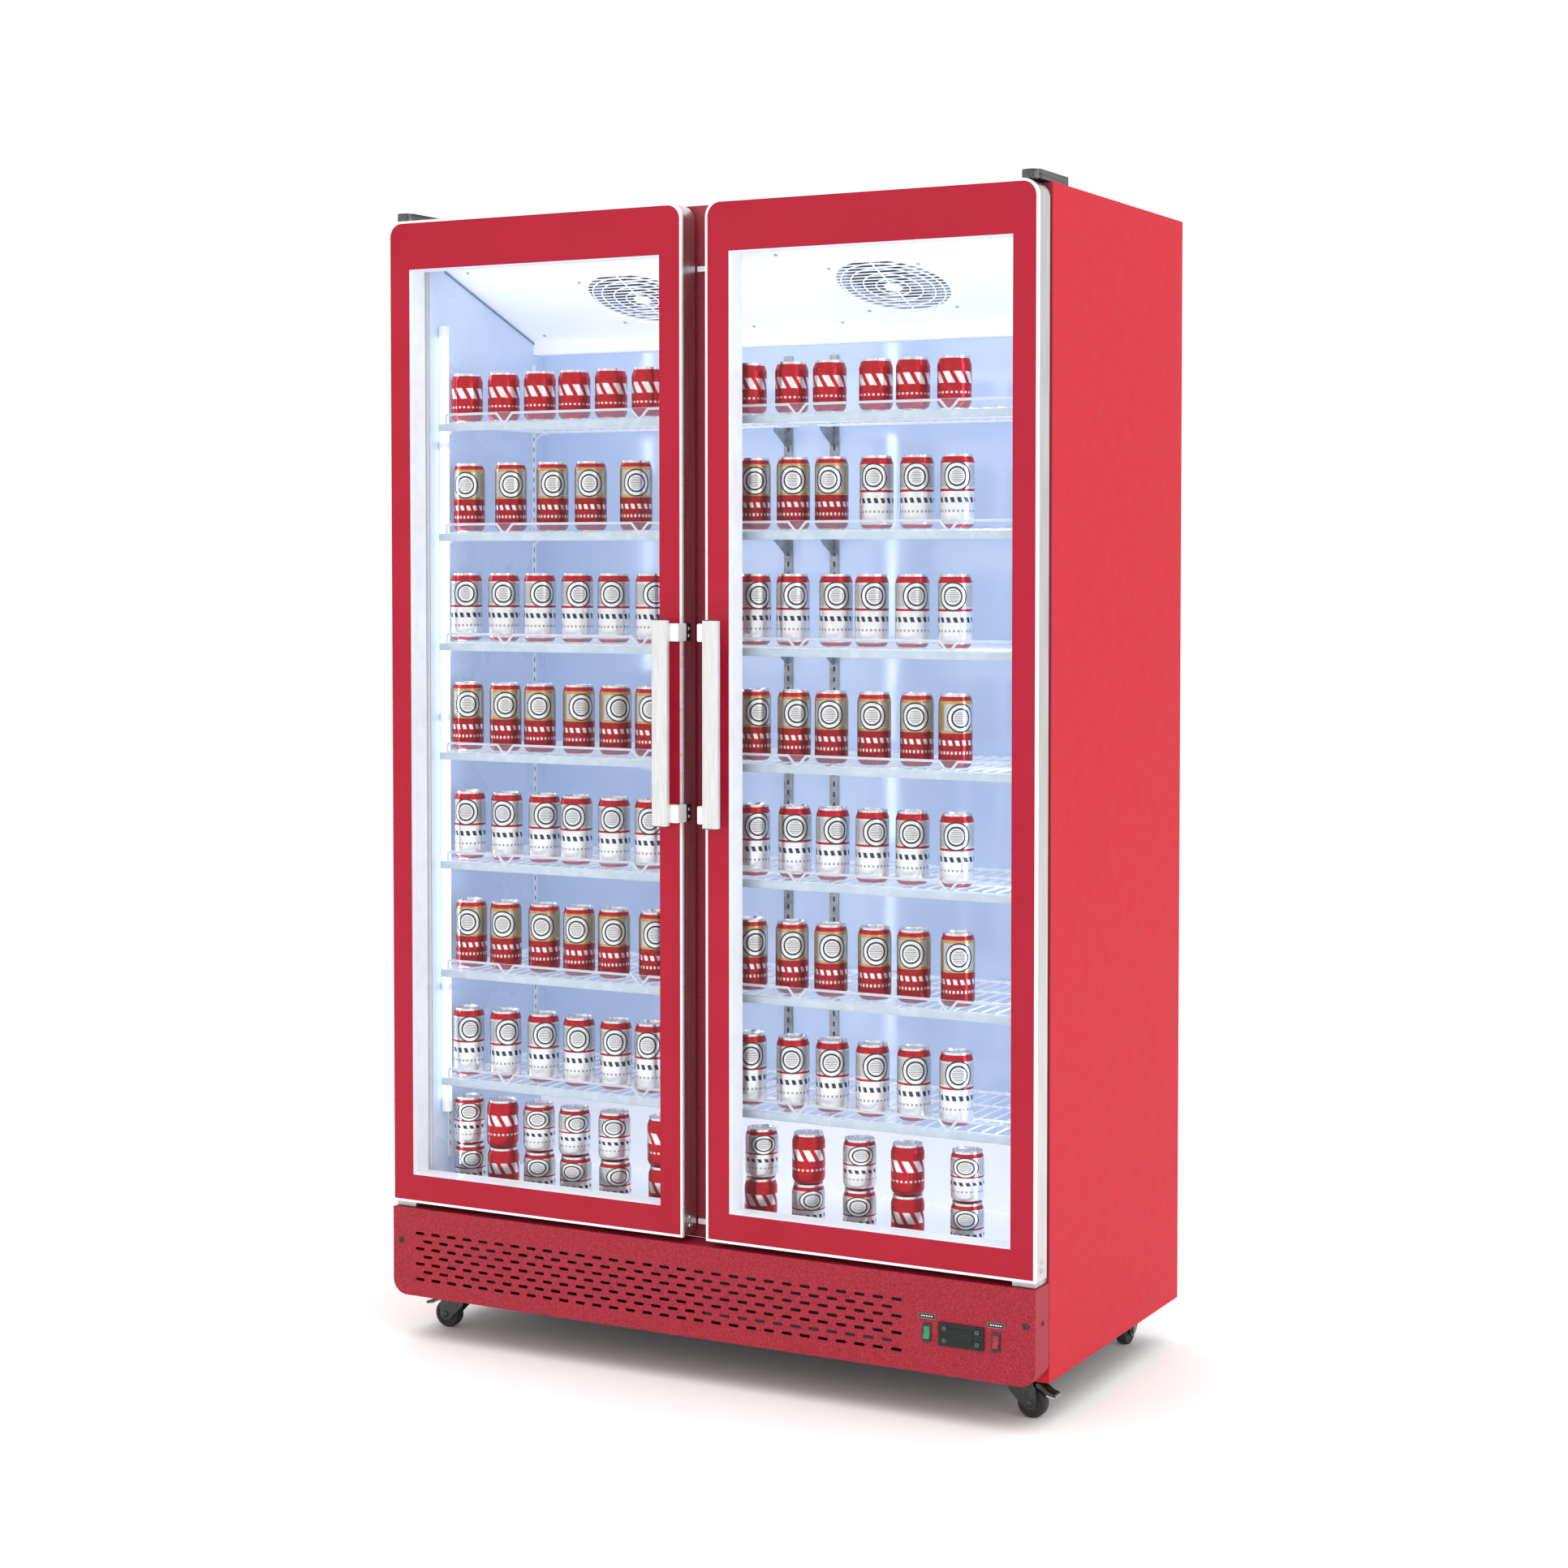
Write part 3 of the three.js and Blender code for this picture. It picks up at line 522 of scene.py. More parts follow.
def inset(low, high, by, top=0.0, bottom=0.0, steps=8):
    """The outline of a box seen from the front, drawn in by a margin."""
    return rounded(low.x + by, high.x - by, low.z + by, high.z - by, top, bottom, steps)


def stadium(u, v, length, height, steps=5):
    """A slot with round ends centred on (u, v)."""
    r, reach = height / 2, length / 2 - height / 2
    return arc(u + reach, v, r, -90, 90, steps) + arc(u - reach, v, r, 90, 270, steps)


def sweep_ring(bm, section, low, high):
    """Sweeps a closed section round a rectangle in XZ. Section points are (inwards, y)."""
    loops = []
    corners = ((low.x, low.z, 1, 1), (high.x, low.z, -1, 1), (high.x, high.z, -1, -1), (low.x, high.z, 1, -1))
    for x, z, sx, sz in corners:
        loops.append([bm.verts.new((x + sx * inward, y, z + sz * inward)) for inward, y in section])
    for a, b in zip(loops, loops[1:] + loops[:1]):
        for i in range(len(section)):
            j = (i + 1) % len(section)
            bm.faces.new((a[i], a[j], b[j], b[i]))


def screw(bm, place, normal, radius):
    """A pan-head screw with a recess, standing on a surface."""
    turn = Vector(normal).to_track_quat("Z", "Y").to_matrix().to_4x4()
    dome = ((1, 0), (1, 0.25), (0.8, 0.5), (0.35, 0.62), (0.3, 0.4), (0, 0.35))
    profile = [(radius * out, radius * up) for out, up in dome]
    add_lathe(bm, profile, Matrix.Translation(place) @ turn, 16)


def add_screws(name, places, normal, radius, body=CABINET):
    """One piece of steel screws that all face the same way."""
    bm = bmesh.new()
    for place in places:
        screw(bm, place, normal, radius)
    piece(name, bm, "steel", body)


def soften(obj, width, segments=2, angle=40):
    """Rounds the edges of an object, or of a CAD node given by name, for show."""
    if isinstance(obj, str):
        obj = frame["nodes"][obj]
    modifier = obj.modifiers.new("edge", "BEVEL")
    modifier.width = width
    modifier.segments = segments
    modifier.limit_method = "ANGLE"
    modifier.angle_limit = math.radians(angle)


def paint(mat, *names):
    """Gives CAD nodes a material."""
    for name in names:
        node_object = frame["nodes"][name]
        node_object.data.materials.clear()
        node_object.data.materials.append(MAT[mat])


# ------------------------------------------------------------------ cabinet
def add_cabinet():
    """Finishes for the cabinet's own sheets, then what is fixed to them."""
    paint("red_panel", "left_side_wall", "right_side_wall", "top_wall", "rear_wall")
    paint("mullion", "mullion")
    paint("liner_back", "duct_panel")
    paint("cover", "evaporator_cover", "floor_deck")
    paint("tray", "base_tray")
    for name in ("left_side_wall", "right_side_wall"):
        soften(name, 2 * MM, 3)
    for name in ("top_wall", "rear_wall", "mullion", "floor_deck"):
        soften(name, 1 * MM)
    add_liner()
    add_front_frame()
    add_roof_details()
    add_rear_details()


def add_liner():
    """White inner skins on the side walls, the ceiling and the wall behind the cover."""
    floor, ceiling = DECK_TOP + 0.5 * MM, ROOF[0].z - 0.5 * MM
    for name, side in SIDES:
        near, far = sorted((side * (INSIDE - 0.2 * MM), side * (INSIDE - LINER_SKIN)))
        bm = bmesh.new()
        add_box(bm, (near, FRONT + 1 * MM, floor), (far, RISER_FRONT - 1 * MM, ceiling), 0.3 * MM)
        add_box(bm, (near, RISER_FRONT - 2 * MM, RISER_TOP + 0.3 * MM),
                (far, DUCT[0].y - 0.2 * MM, COVER[0].z))
        piece(f"liner_{name}", bm, "liner")
    bm = bmesh.new()
    reach, rear = INSIDE - 2 * MM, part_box("rear_wall")[0].y
    add_box(bm, (-reach, FRONT + 1 * MM, ceiling - LINER_SKIN), (reach, rear - 2 * MM, ceiling), 0.3 * MM)
    add_box(bm, (-reach, rear - 1.7 * MM, COVER[0].z), (reach, rear - 0.5 * MM, ceiling), 0.3 * MM)
    piece("liner_ceiling", bm, "liner")


def add_front_frame():
    """The red face of the door opening, seen between and beside the doors, with its white trims."""
    bays = [rounded(*sorted((side * BAY_NEAR, side * BAY_FAR)), BAY_BOTTOM, BAY_TOP) for _, side in SIDES]
    bm = bmesh.new()
    outline = rounded(-FACE_HALF, FACE_HALF, FACE_BOTTOM, FACE_TOP)
    add_plate(bm, outline, bays, in_xz(FRONT - 1.2 * MM), 1 * MM)
    piece("front_frame", bm, "mullion")

    bm = bmesh.new()
    for bay, (_, side) in zip(bays, SIDES):
        left, right = sorted((side * (BAY_NEAR - 1 * MM), side * (BAY_FAR + 14 * MM)))
        trim = rounded(left, right, BAY_BOTTOM - 7 * MM, BAY_TOP + 7 * MM)
        add_plate(bm, trim, [bay], in_xz(FRONT - 1.7 * MM), 0.4 * MM)
    piece("bay_trims", bm, "white")

    bm = bmesh.new()
    half = 22.5 * MM
    for z in (BAY_TOP - 50 * MM, BAY_BOTTOM):
        add_box(bm, (-half, FRONT - 6 * MM, z), (half, FRONT - 1.4 * MM, z + 9 * MM), 0.8 * MM)
    piece("mullion_trims", bm, "white")


def add_roof_details():
    """Fixing screws along the roof's edges."""
    top = ROOF[1].z
    places = [(side * 0.565, -0.19 + i * 0.12, top) for side in (-1, 1) for i in range(5)]
    places += [(-0.45 + i * 0.18, ROOF[1].y - 0.02, top) for i in range(6)]
    add_screws("roof_screws", places, (0, 0, 1), 3.5 * MM)


def add_rear_details():
    """Screws, a slotted guard over the machine compartment, and the power inlet."""
    low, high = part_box("rear_wall")
    back = high.y
    places = [(side * 0.56, back, z) for z in (0.26, 0.68, 1.1, 1.5, 1.9) for side in (-1, 1)]
    add_screws("rear_screws", places, (0, 1, 0), 4 * MM)

    bm = bmesh.new()
    bottom, top, reach, pitch = 106 * MM, low.z - 2 * MM, INSIDE - 2 * MM, 42.2 * MM
    slots = []
    for row in range(5):
        for column in range(24):
            x = -0.50 + column * pitch + (row % 2) * pitch / 2
            slots.append(stadium(x, bottom + (1 + row) * 18 * MM, 30 * MM, 7 * MM, 4))
    add_plate(bm, rounded(-reach, reach, bottom, top), slots, in_xz(back - 3.5 * MM), 1.2 * MM)
    piece("rear_guard", bm, "zinc")

    bm = bmesh.new()
    x, z = 534 * MM, 135 * MM
    add_box(bm, (x - 26 * MM, back - 10 * MM, z - 17 * MM),
            (x + 26 * MM, back - 1.4 * MM, z + 17 * MM), 2 * MM)
    outwards = Matrix.Translation((x, back - 5 * MM, z)) @ Matrix.Rotation(-math.pi / 2, 4, "X")
    add_lathe(bm, mm([(0, 0), (9, 0), (11, 1.2), (11, 4), (0, 4)]), outwards, 24)
    piece("power_gland", bm, "black")


# ------------------------------------------------------------------ cold room fittings
def tilted(x, along=158 * MM, lift=0.0):
    """The frame on the sloping cover at x, with Z out of its upper face."""
    y = COVER[0].y + along * math.cos(SLOPE)
    z = COVER_HIGH - along * math.sin(SLOPE)
    turn = Matrix.Rotation(-SLOPE, 4, "X") @ Matrix.Translation((0, 0, lift))
    return Matrix.Translation((x, y, z)) @ turn


def add_grille(name, side):
    """A round moulded guard: rim with screw tabs, rings and close bars across."""
    bm = bmesh.new()
    place = tilted(side * FAN_X, lift=-3.6 * MM)
    inner, tab = 105 * MM, 119 * MM
    add_lathe(bm, mm([(104, 0), (114.5, 0), (114.5, 2.2), (112, 3.3), (104, 3.3)]), place, 64, closed=True)
    for radius in (30, 52, 74, 91):
        section = mm([(-1.1, 0), (1.1, 0), (0.9, 1.8), (-0.9, 1.8)], (radius * MM, 0))
        add_lathe(bm, section, place, 56, closed=True)
    add_lathe(bm, mm([(0, 0), (16, 0), (16, 2), (0, 2)]), place, 32)
    for i in range(-9, 10):
        v = i * 11 * MM
        half = math.sqrt(inner ** 2 - v ** 2)
        for low, high in bar_spans(v, half):
            faces = add_box(bm, (low, v - 1.5 * MM, 0.4 * MM), (high, v + 1.5 * MM, 1.6 * MM), 0.4 * MM, 1)
            turn_faces(faces, place)
    faces = add_box(bm, (-1.6 * MM, -inner, 0.2 * MM), (1.6 * MM, inner, 2.0 * MM), 0.5 * MM, 1)
    turn_faces(faces, place)
    turns = [place @ Matrix.Rotation(math.radians(angle), 4, "Z") for angle in (45, 135, 225, 315)]
    disc = mm([(0, 0), (8, 0), (8, 3), (0, 3)])
    for turn in turns:
        add_lathe(bm, disc, turn @ Matrix.Translation((tab, 0, 0)), 20)
    piece(f"fan_guard_{name}", bm, "cover", replaces=[f"fan_grille_{name}"])
    places = [turn @ Vector((tab, 0, 0)) for turn in turns]
    add_screws(f"fan_guard_screws_{name}", places, place.to_3x3() @ Vector((0, 0, -1)), 3.6 * MM)


def bar_spans(v, half):
    """Where a cross bar runs, left out where it would lie on the solid centre."""
    core = 15 * MM
    if abs(v) >= core:
        return [(-half, half)]
    gap = math.sqrt(core ** 2 - v ** 2)
    return [(-half, -gap), (gap, half)]


def turn_faces(faces, matrix):
    for vert in {vert for face in faces for vert in face.verts}:
        vert.co = matrix @ vert.co


def add_rotor(name, body, node_name, place, tip, hub, depth):
    """A moulded fan: domed hub and five twisted, swept blades."""
    bm = bmesh.new()
    dome = ((0, 0), (0.8, 0), (1, 0.2), (1, 0.9), (0.9, 1), (0, 1))
    add_lathe(bm, [(hub * out, depth * up) for out, up in dome], place, 32)
    steps, root = 8, hub * 0.96
    section = ((-1, 0), (-0.3, 1), (0.4, 1), (1, 0), (0.4, -1), (-0.3, -1))
    for blade in range(5):
        rows = []
        for i in range(steps + 1):
            t = i / steps
            radius = root + (tip - root) * t
            half_turn = 0.34 + 0.10 * t
            sweep = 0.30 * t * t + blade * math.tau / 5
            row = []
            for u, thick in section:
                angle = sweep + u * half_turn
                height = depth / 2 + u * depth * (0.44 - 0.12 * t) + thick * 0.8 * MM
                spot = Vector((radius * math.cos(angle), radius * math.sin(angle), height))
                row.append(bm.verts.new(place @ spot))
            rows.append(row)
        for a, b in zip(rows, rows[1:]):
            for i in range(6):
                bm.faces.new((a[i], a[(i + 1) % 6], b[(i + 1) % 6], b[i]))
        bm.faces.new(rows[0])
        bm.faces.new(rows[-1])
    piece(name, bm, "black", body, [node_name])


def add_fans():
    """A grille and a rotor behind it for each bay, and the condenser's rotor."""
    for name, side in SIDES:
        add_grille(name, side)
        place = tilted(side * FAN_X, lift=9 * MM)
        add_rotor(f"fan_blades_{name}", f"evaporator_fan_{name}", f"fan_rotor_{name}", place,
                  86.5 * MM, 27 * MM, 16 * MM)
    low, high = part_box("condenser_fan_rotor")
    centre = Matrix.Translation(((low.x + high.x) / 2, low.y, 144 * MM))
    add_rotor("condenser_fan_blades", "condenser_fan", "condenser_fan_rotor",
              centre @ Matrix.Rotation(-math.pi / 2, 4, "X"), 47 * MM, 16 * MM, 14 * MM)


def add_cover_details():
    """Screws on the sloping cover, and seal strips along its ends whose dark colour paints the shadow gap
    there (painted shade).
    """
    down = tilted(0).to_3x3() @ Vector((0, 0, -1))
    places = [tilted(x, along) @ Vector((0, 0, -0.2 * MM)) for x in (-0.54, -0.09, 0.09, 0.54)
              for along in (0.02, 0.29)]
    add_screws("cover_screws", places, down, 3.4 * MM)

    # Painted shade: dark strips along the cover's ends stand in for the shadow gap at the side walls.
    bm = bmesh.new()
    front, rear, under = COVER[0].y, COVER_BACK, 3.5 * MM
    edge = [(front, COVER_HIGH - under), (rear, COVER_LOW - under),
            (rear, COVER_LOW - under - 2.4 * MM), (front, COVER_HIGH - under - 3.0 * MM)]
    for _, side in SIDES:
        add_plate(bm, edge, [], in_yz(side * (INSIDE - 1.4 * MM), -side), 2 * MM)
    piece("cover_edge_strips_and_gap_shade", bm, "edge_strip_and_gap_shade")


def add_pilaster(bm, middle, width, place, bottom, top):
    """A slotted steel strip with a near-black sheet behind it that paints the shade inside the channel behind
    the slots (painted shade); place(u, v, w) has w running into the wall.
    """
    holes = []
    z = bottom + 20 * MM
    while z < top - 20 * MM:
        holes.append(rounded(middle - 2 * MM, middle + 2 * MM, z, z + 9 * MM))
        z += 19 * MM
    half = width / 2
    add_plate(bm, rounded(middle - half, middle + half, bottom, top), holes, place, 1.1 * MM)
    half -= 1 * MM
    # Painted shade: the near-black sheet behind the slots stands in for the shade inside the channel.
    slot_shade_sheet = rounded(middle - half, middle + half, bottom + 1 * MM, top - 1 * MM)
    add_plate(bm, slot_shade_sheet, [], lambda u, v, w: place(u, v, w + 1.15 * MM), 0.3 * MM, 1)


def add_pilasters():
    """Two slotted strips on the duct panel and two on each side wall."""
    bottom, top = RISER_TOP + 10 * MM, COVER[0].z - 20 * MM
    bm = bmesh.new()
    for x in (-MIDDLE_PILASTER_X, MIDDLE_PILASTER_X):
        add_pilaster(bm, x, 18 * MM, in_xz(DUCT[0].y - 3 * MM), bottom, top)
    piece("pilasters_middle", bm, "pilaster black")
    for name, side in SIDES:
        bm = bmesh.new()
        place = in_yz(side * (INSIDE - 3 * MM), side)
        for y in SIDE_PILASTER_Y:
            add_pilaster(bm, y, 12 * MM, place, DECK_TOP + 60 * MM, top)
        piece(f"pilasters_{name}", bm, "white black")


def add_tubes():
    """Three upright light tubes with end caps and clips."""
    cap = [(0, 0), (8.8, 0), (9.5, 2), (9.5, 18), (8.8, 20), (0, 20)]
    clip = [(8.1, 0), (9.6, 0), (9.6, 12), (8.1, 12)]
    length = (TUBE_TOP - TUBE_BOTTOM) / MM
    for name, x in (("left", 13 * MM - INSIDE), ("right", INSIDE - 13 * MM), ("middle", 0.0)):
        matrix = Matrix.Translation((x, FRONT + 30 * MM, 0))
        bm = bmesh.new()
        add_lathe(bm, mm([(0, 0), (8, 0), (8, length), (0, length)], (0, TUBE_BOTTOM)), matrix, 24)
        piece(f"light_tube_{name}", bm, "tube")
        bm = bmesh.new()
        for z in (TUBE_BOTTOM - 20 * MM, TUBE_TOP):
            add_lathe(bm, mm(cap, (0, z)), matrix, 24)
        for z in (TUBE_BOTTOM + 0.2, (TUBE_BOTTOM + TUBE_TOP) / 2, TUBE_TOP - 0.2):
            add_lathe(bm, mm(clip, (0, z)), matrix, 24, closed=True)
        piece(f"light_fittings_{name}", bm, "white")


# ------------------------------------------------------------------ shelves
def shelf_wires(bm, low, high):
    """The grid: comb wires front to back on cross rods inside a frame wire."""
    top = high.z
    left, right = low.x + 4 * MM, high.x - 4 * MM
    front, back = low.y + 7 * MM, high.y - 5 * MM
    frame_z = top - 5 * MM
    corners = [(left, front), (right, front), (right, back), (left, back), (left, front)]
    for (xa, ya), (xb, yb) in zip(corners, corners[1:]):
        add_tube(bm, [(xa, ya, frame_z), (xb, yb, frame_z)], 2.6 * MM, 8)
    for share in (0.33, 0.66):
        y = front + (back - front) * share
        add_tube(bm, [(left, y, frame_z), (right, y, frame_z)], 2.2 * MM, 8)
    count = 23
    for i in range(count):
        x = left + (right - left) * i / (count - 1)
        comb = [(x, front - 2 * MM, frame_z - 3 * MM), (x, front, top - 1.5 * MM), (x, back, top - 1.5 * MM)]
        add_tube(bm, comb, 1.5 * MM, 6)


def guard_path(low, high):
    """The front guard wire: bent up at both ends, with two V notches."""
    y = low.y + 5 * MM
    rise, dip = high.z + 13 * MM, high.z - 4 * MM
    middle = (low.x + high.x) / 2
    left, right = low.x + 15 * MM, high.x - 15 * MM
    path = [(left, y + 10 * MM, dip), (left, y, dip), (left, y, rise - 3 * MM), (left + 3 * MM, y, rise)]
    for side in (-1, 1):
        notch = middle + side * 140 * MM
        path += [(notch - 17 * MM, y, rise), (notch - 2 * MM, y, dip), (notch + 2 * MM, y, dip),
                 (notch + 17 * MM, y, rise)]
    path += [(right - 3 * MM, y, rise), (right, y, rise - 3 * MM), (right, y, dip), (right, y + 10 * MM, dip)]
    return path


def add_shelf(side_name, number):
    """Wires, a clear strip with its bright top edge, and the folded rail for price tags."""
    node_name = f"shelf_{side_name}_{number}"
    low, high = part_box(node_name)
    bm = bmesh.new()
    shelf_wires(bm, low, high)
    add_tube(bm, guard_path(low, high), 2.2 * MM, 8)
    piece(f"{node_name}_wires", bm, "wire", replaces=[node_name])

    bm = bmesh.new()
    left, right, front = low.x + 6 * MM, high.x - 6 * MM, low.y + 1.1 * MM
    top = high.z + 14 * MM
    add_box(bm, (left, front + 0.1 * MM, high.z - 2 * MM), (right, front + 1.1 * MM, top), 0.3 * MM, 1)
    add_box(bm, (left, front, top + 0.1 * MM), (right, front + 1.2 * MM, top + 1.2 * MM), 0.3 * MM, 1, 1)
    piece(f"{node_name}_strip", bm, "strip tag_rail")

    bm = bmesh.new()
    foot = low.z + 5 * MM
    lip = mm([(-1.4, -5), (0, -3.5), (4, -3.5), (4, -4.5), (1.4, -5.5)], (low.y, high.z))
    rail = [(low.y, foot), (low.y - 1.4 * MM, foot + 2 * MM), *lip, (low.y + 1.4 * MM, foot)]
    add_plate(bm, rail, [], in_yz(low.x + 3 * MM), high.x - low.x - 6 * MM)
    piece(f"{node_name}_tag_rail", bm, "tag_rail")


def add_shelf_supports(side_name, side):
    """White hooks at the side wall and grey brackets on the middle pilasters, under every shelf."""
    tops = [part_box(f"shelf_{side_name}_{number}")[1].z for number in SHELVES]
    wall = side * (INSIDE - 2.6 * MM)
    near, far = wall - side * 12 * MM, wall - side * 24 * MM
    bm = bmesh.new()
    for top in tops:
        z = top - 8.5 * MM
        for y in SIDE_PILASTER_Y:
            hook = [(wall, y, z - 16 * MM), (near, y, z - 4 * MM), (far, y, z), (far, y + 12 * MM, z)]
            add_tube(bm, hook, 1.8 * MM, 8)
    piece(f"shelf_hooks_{side_name}", bm, "white")

    bm = bmesh.new()
    x, y = side * MIDDLE_PILASTER_X, DUCT[0].y - 3.2 * MM
    for top in tops:
        top -= 9 * MM
        web = mm([(0, 0), (-55, 0), (-55, -6), (-8, -34), (0, -34)], (y, top))
        add_plate(bm, web, [], in_yz(x - 1 * MM), 2 * MM)
        add_box(bm, (x - 9 * MM, y - 2 * MM, top - 30 * MM),
                (x + 9 * MM, y - 0.2 * MM, top - 4 * MM), 0.6 * MM, 1)
    piece(f"shelf_brackets_{side_name}", bm, "pilaster")


# ------------------------------------------------------------------ cans
CAN_RADIUS = 28.5 * MM
TALL, SHORT = 122 * MM, 86 * MM


def can_label(kind, bands, marks):
    """A printed can: bands up its height, then marks. UV u runs round the can and v up it."""
    name = f"can_{kind}"
    mat = material(name, bands[0][1], 0.24, 0.7, Specular_IOR_Level=0.4)
    uv = node(mat, "ShaderNodeUVMap", uv_map="label")
    parts = node(mat, "ShaderNodeSeparateXYZ")
    link(mat, uv.outputs["UV"], parts.inputs["Vector"])
    u, v = parts.outputs["X"], parts.outputs["Y"]
    colour = ramp(mat, v, bands, "CONSTANT")
    for mask, ink in marks(mat, u, v):
        mixed = node(mat, "ShaderNodeMix", data_type="RGBA")
        socket = {s.identifier: s for s in mixed.inputs}
        socket["B_Color"].default_value = (*ink, 1)
        link(mat, mask, socket["Factor_Float"])
        link(mat, colour, socket["A_Color"])
        colour = next(s for s in mixed.outputs if s.identifier == "Result_Color")
    link(mat, colour, mat.node_tree.nodes["Principled BSDF"].inputs["Base Color"])
    MAT[name] = mat


def times(mat, a, b):
    return calc(mat, "MULTIPLY", a, b)


def below(mat, value, limit):
    return calc(mat, "LESS_THAN", value, limit)


def repeat(mat, value, count):
    """A value from 0 to 1, count times over."""
    return calc(mat, "FRACT", times(mat, value, count))


def between(mat, value, low, high):
    return times(mat, calc(mat, "GREATER_THAN", value, low), below(mat, value, high))


def twice_round(mat, u):
    """Runs from -0.5 to 0.5 twice round the can."""
    return calc(mat, "SUBTRACT", repeat(mat, u, 2), 0.5)


def ring_distance(mat, u, v, centre, aspect):
    """How far a point is from an emblem's centre."""
    across = twice_round(mat, u)
    up = times(mat, calc(mat, "SUBTRACT", v, centre), aspect)
    return calc(mat, "SQRT", calc(mat, "ADD", times(mat, across, across), times(mat, up, up)))


def dashes(mat, u, v, count, share, low, high, slant=0.0):
    """A row of plain bars round the can."""
    along = calc(mat, "ADD", times(mat, u, count), times(mat, v, slant))
    bars = below(mat, calc(mat, "FRACT", along), share)
    return times(mat, bars, between(mat, v, low, high))


def emblem(mat, u, v, centre, dark):
    """A plain double ring with fine lines inside, on two sides of the can."""
    away = ring_distance(mat, u, v, centre, 1.36)
    inside = times(mat, below(mat, repeat(mat, v, 40), 0.45), below(mat, away, 0.125))
    return [(below(mat, away, 0.27), (0.88, 0.88, 0.88)), (times(mat, inside, 0.75), dark),
            (between(mat, away, 0.150, 0.185), dark), (between(mat, away, 0.240, 0.27), dark)]


def fine_print(mat, u, v, low, high):
    """Grey lines too small to read."""
    rows = below(mat, repeat(mat, v, 44), 0.5)
    return times(mat, times(mat, rows, dashes(mat, u, v, 34, 0.7, low, high, 9)), 0.7), GREY


RED, DEEP_RED, SILVER = (0.48, 0.004, 0.012), (0.34, 0.003, 0.010), (0.70, 0.70, 0.70)
GOLD, INK, PALE, GREY = (0.52, 0.36, 0.14), (0.03, 0.04, 0.09), (0.84, 0.84, 0.85), (0.045, 0.045, 0.055)


def red_marks(mat, u, v):
    return [(dashes(mat, u, v, 9, 0.6, 0.48, 0.70, 2.4), (0.88, 0.88, 0.88)),
            (dashes(mat, u, v, 22, 0.5, 0.28, 0.32), (0.85, 0.85, 0.85))]


def gold_marks(mat, u, v):
    side = calc(mat, "GREATER_THAN", calc(mat, "ABSOLUTE", twice_round(mat, u)), 0.33)
    return [(times(mat, side, between(mat, v, 0.5, 0.88)), GOLD), fine_print(mat, u, v, 0.52, 0.86),
            *emblem(mat, u, v, 0.68, GREY),
            (dashes(mat, u, v, 15, 0.55, 0.31, 0.38, 3.0), (0.85, 0.83, 0.80)),
            (dashes(mat, u, v, 26, 0.5, 0.19, 0.23), (0.80, 0.76, 0.68))]


def white_marks(mat, u, v):
    return [fine_print(mat, u, v, 0.56, 0.85), *emblem(mat, u, v, 0.70, GREY),
            (dashes(mat, u, v, 15, 0.55, 0.35, 0.42, 3.0), INK),
            (dashes(mat, u, v, 24, 0.5, 0.22, 0.25), (0.30, 0.31, 0.36))]


LABELS = ("red", "gold", "white")
can_label("red", [(0, RED), (0.5, RED)], red_marks)
can_label("gold", [(0, DEEP_RED), (0.47, GOLD), (0.51, SILVER), (0.86, GOLD), (0.91, RED)], gold_marks)
can_label("white", [(0, RED), (0.055, PALE), (0.50, RED), (0.53, SILVER), (0.88, RED)], white_marks)


def add_can(bm, layer, place, height, turn, index):
    """One can: pressed foot, straight wall, necked shoulder, seamed rim, sunk lid with a ring pull."""
    r, h = CAN_RADIUS, height
    wall = [(r * 0.80, 1.2 * MM), (r * 0.93, 5 * MM), (r, 11 * MM), (r, h - 15 * MM), (r * 0.97, h - 11 * MM),
            (r * 0.88, h - 4 * MM)]
    lid = [(r * 0.88, h - 4 * MM), (r * 0.90, h - 1.2 * MM), (r * 0.89, h), (r * 0.85, h),
           (r * 0.83, h - 3.5 * MM), (r * 0.78, h - 5 * MM), (0, h - 4.6 * MM)]
    foot = [(0, 7 * MM), (r * 0.45, 5.5 * MM), (r * 0.72, 0.6 * MM), (r * 0.76, 0), (r * 0.80, 1.2 * MM)]
    matrix = Matrix.Translation(place) @ Matrix.Rotation(turn, 4, "Z")
    sides = 28
    angles = [math.tau * i / sides for i in range(sides)]
    rings = [[bm.verts.new(matrix @ Vector((radius * math.cos(a), radius * math.sin(a), z))) for a in angles]
             for radius, z in wall]
    for (_, za), (_, zb), a, b in zip(wall, wall[1:], rings, rings[1:]):
        for i in range(sides):
            j = (i + 1) % sides
            face = bm.faces.new((a[i], a[j], b[j], b[i]))
            face.material_index = index
            corners = ((i, za), (i + 1, za), (i + 1, zb), (i, zb))
            for loop, (step, z) in zip(face.loops, corners):
                loop[layer].uv = (step / sides, z / h)
    add_lathe(bm, lid, matrix, sides)
    add_lathe(bm, foot, matrix, sides)
    tab = add_box(bm, (-7 * MM, -4.5 * MM, h - 4.4 * MM), (9 * MM, 4.5 * MM, h - 3.4 * MM), 0.4 * MM, 1)
    turn_faces(tab, matrix)


def add_can_row(name, cans):
    """One piece for a row; cans are (kind, x, y, z, height)."""
    bm = bmesh.new()
    layer = bm.loops.layers.uv.new("label")
    for kind, x, y, z, height in cans:
        turn = math.radians(-150 + CANS.uniform(-16, 16))
        add_can(bm, layer, (x, y, z), height, turn, 1 + LABELS.index(kind))
    bmesh.ops.remove_doubles(bm, verts=bm.verts, dist=0.01 * MM)
    piece(name, bm, "can_metal can_red can_gold can_white", smooth=50)


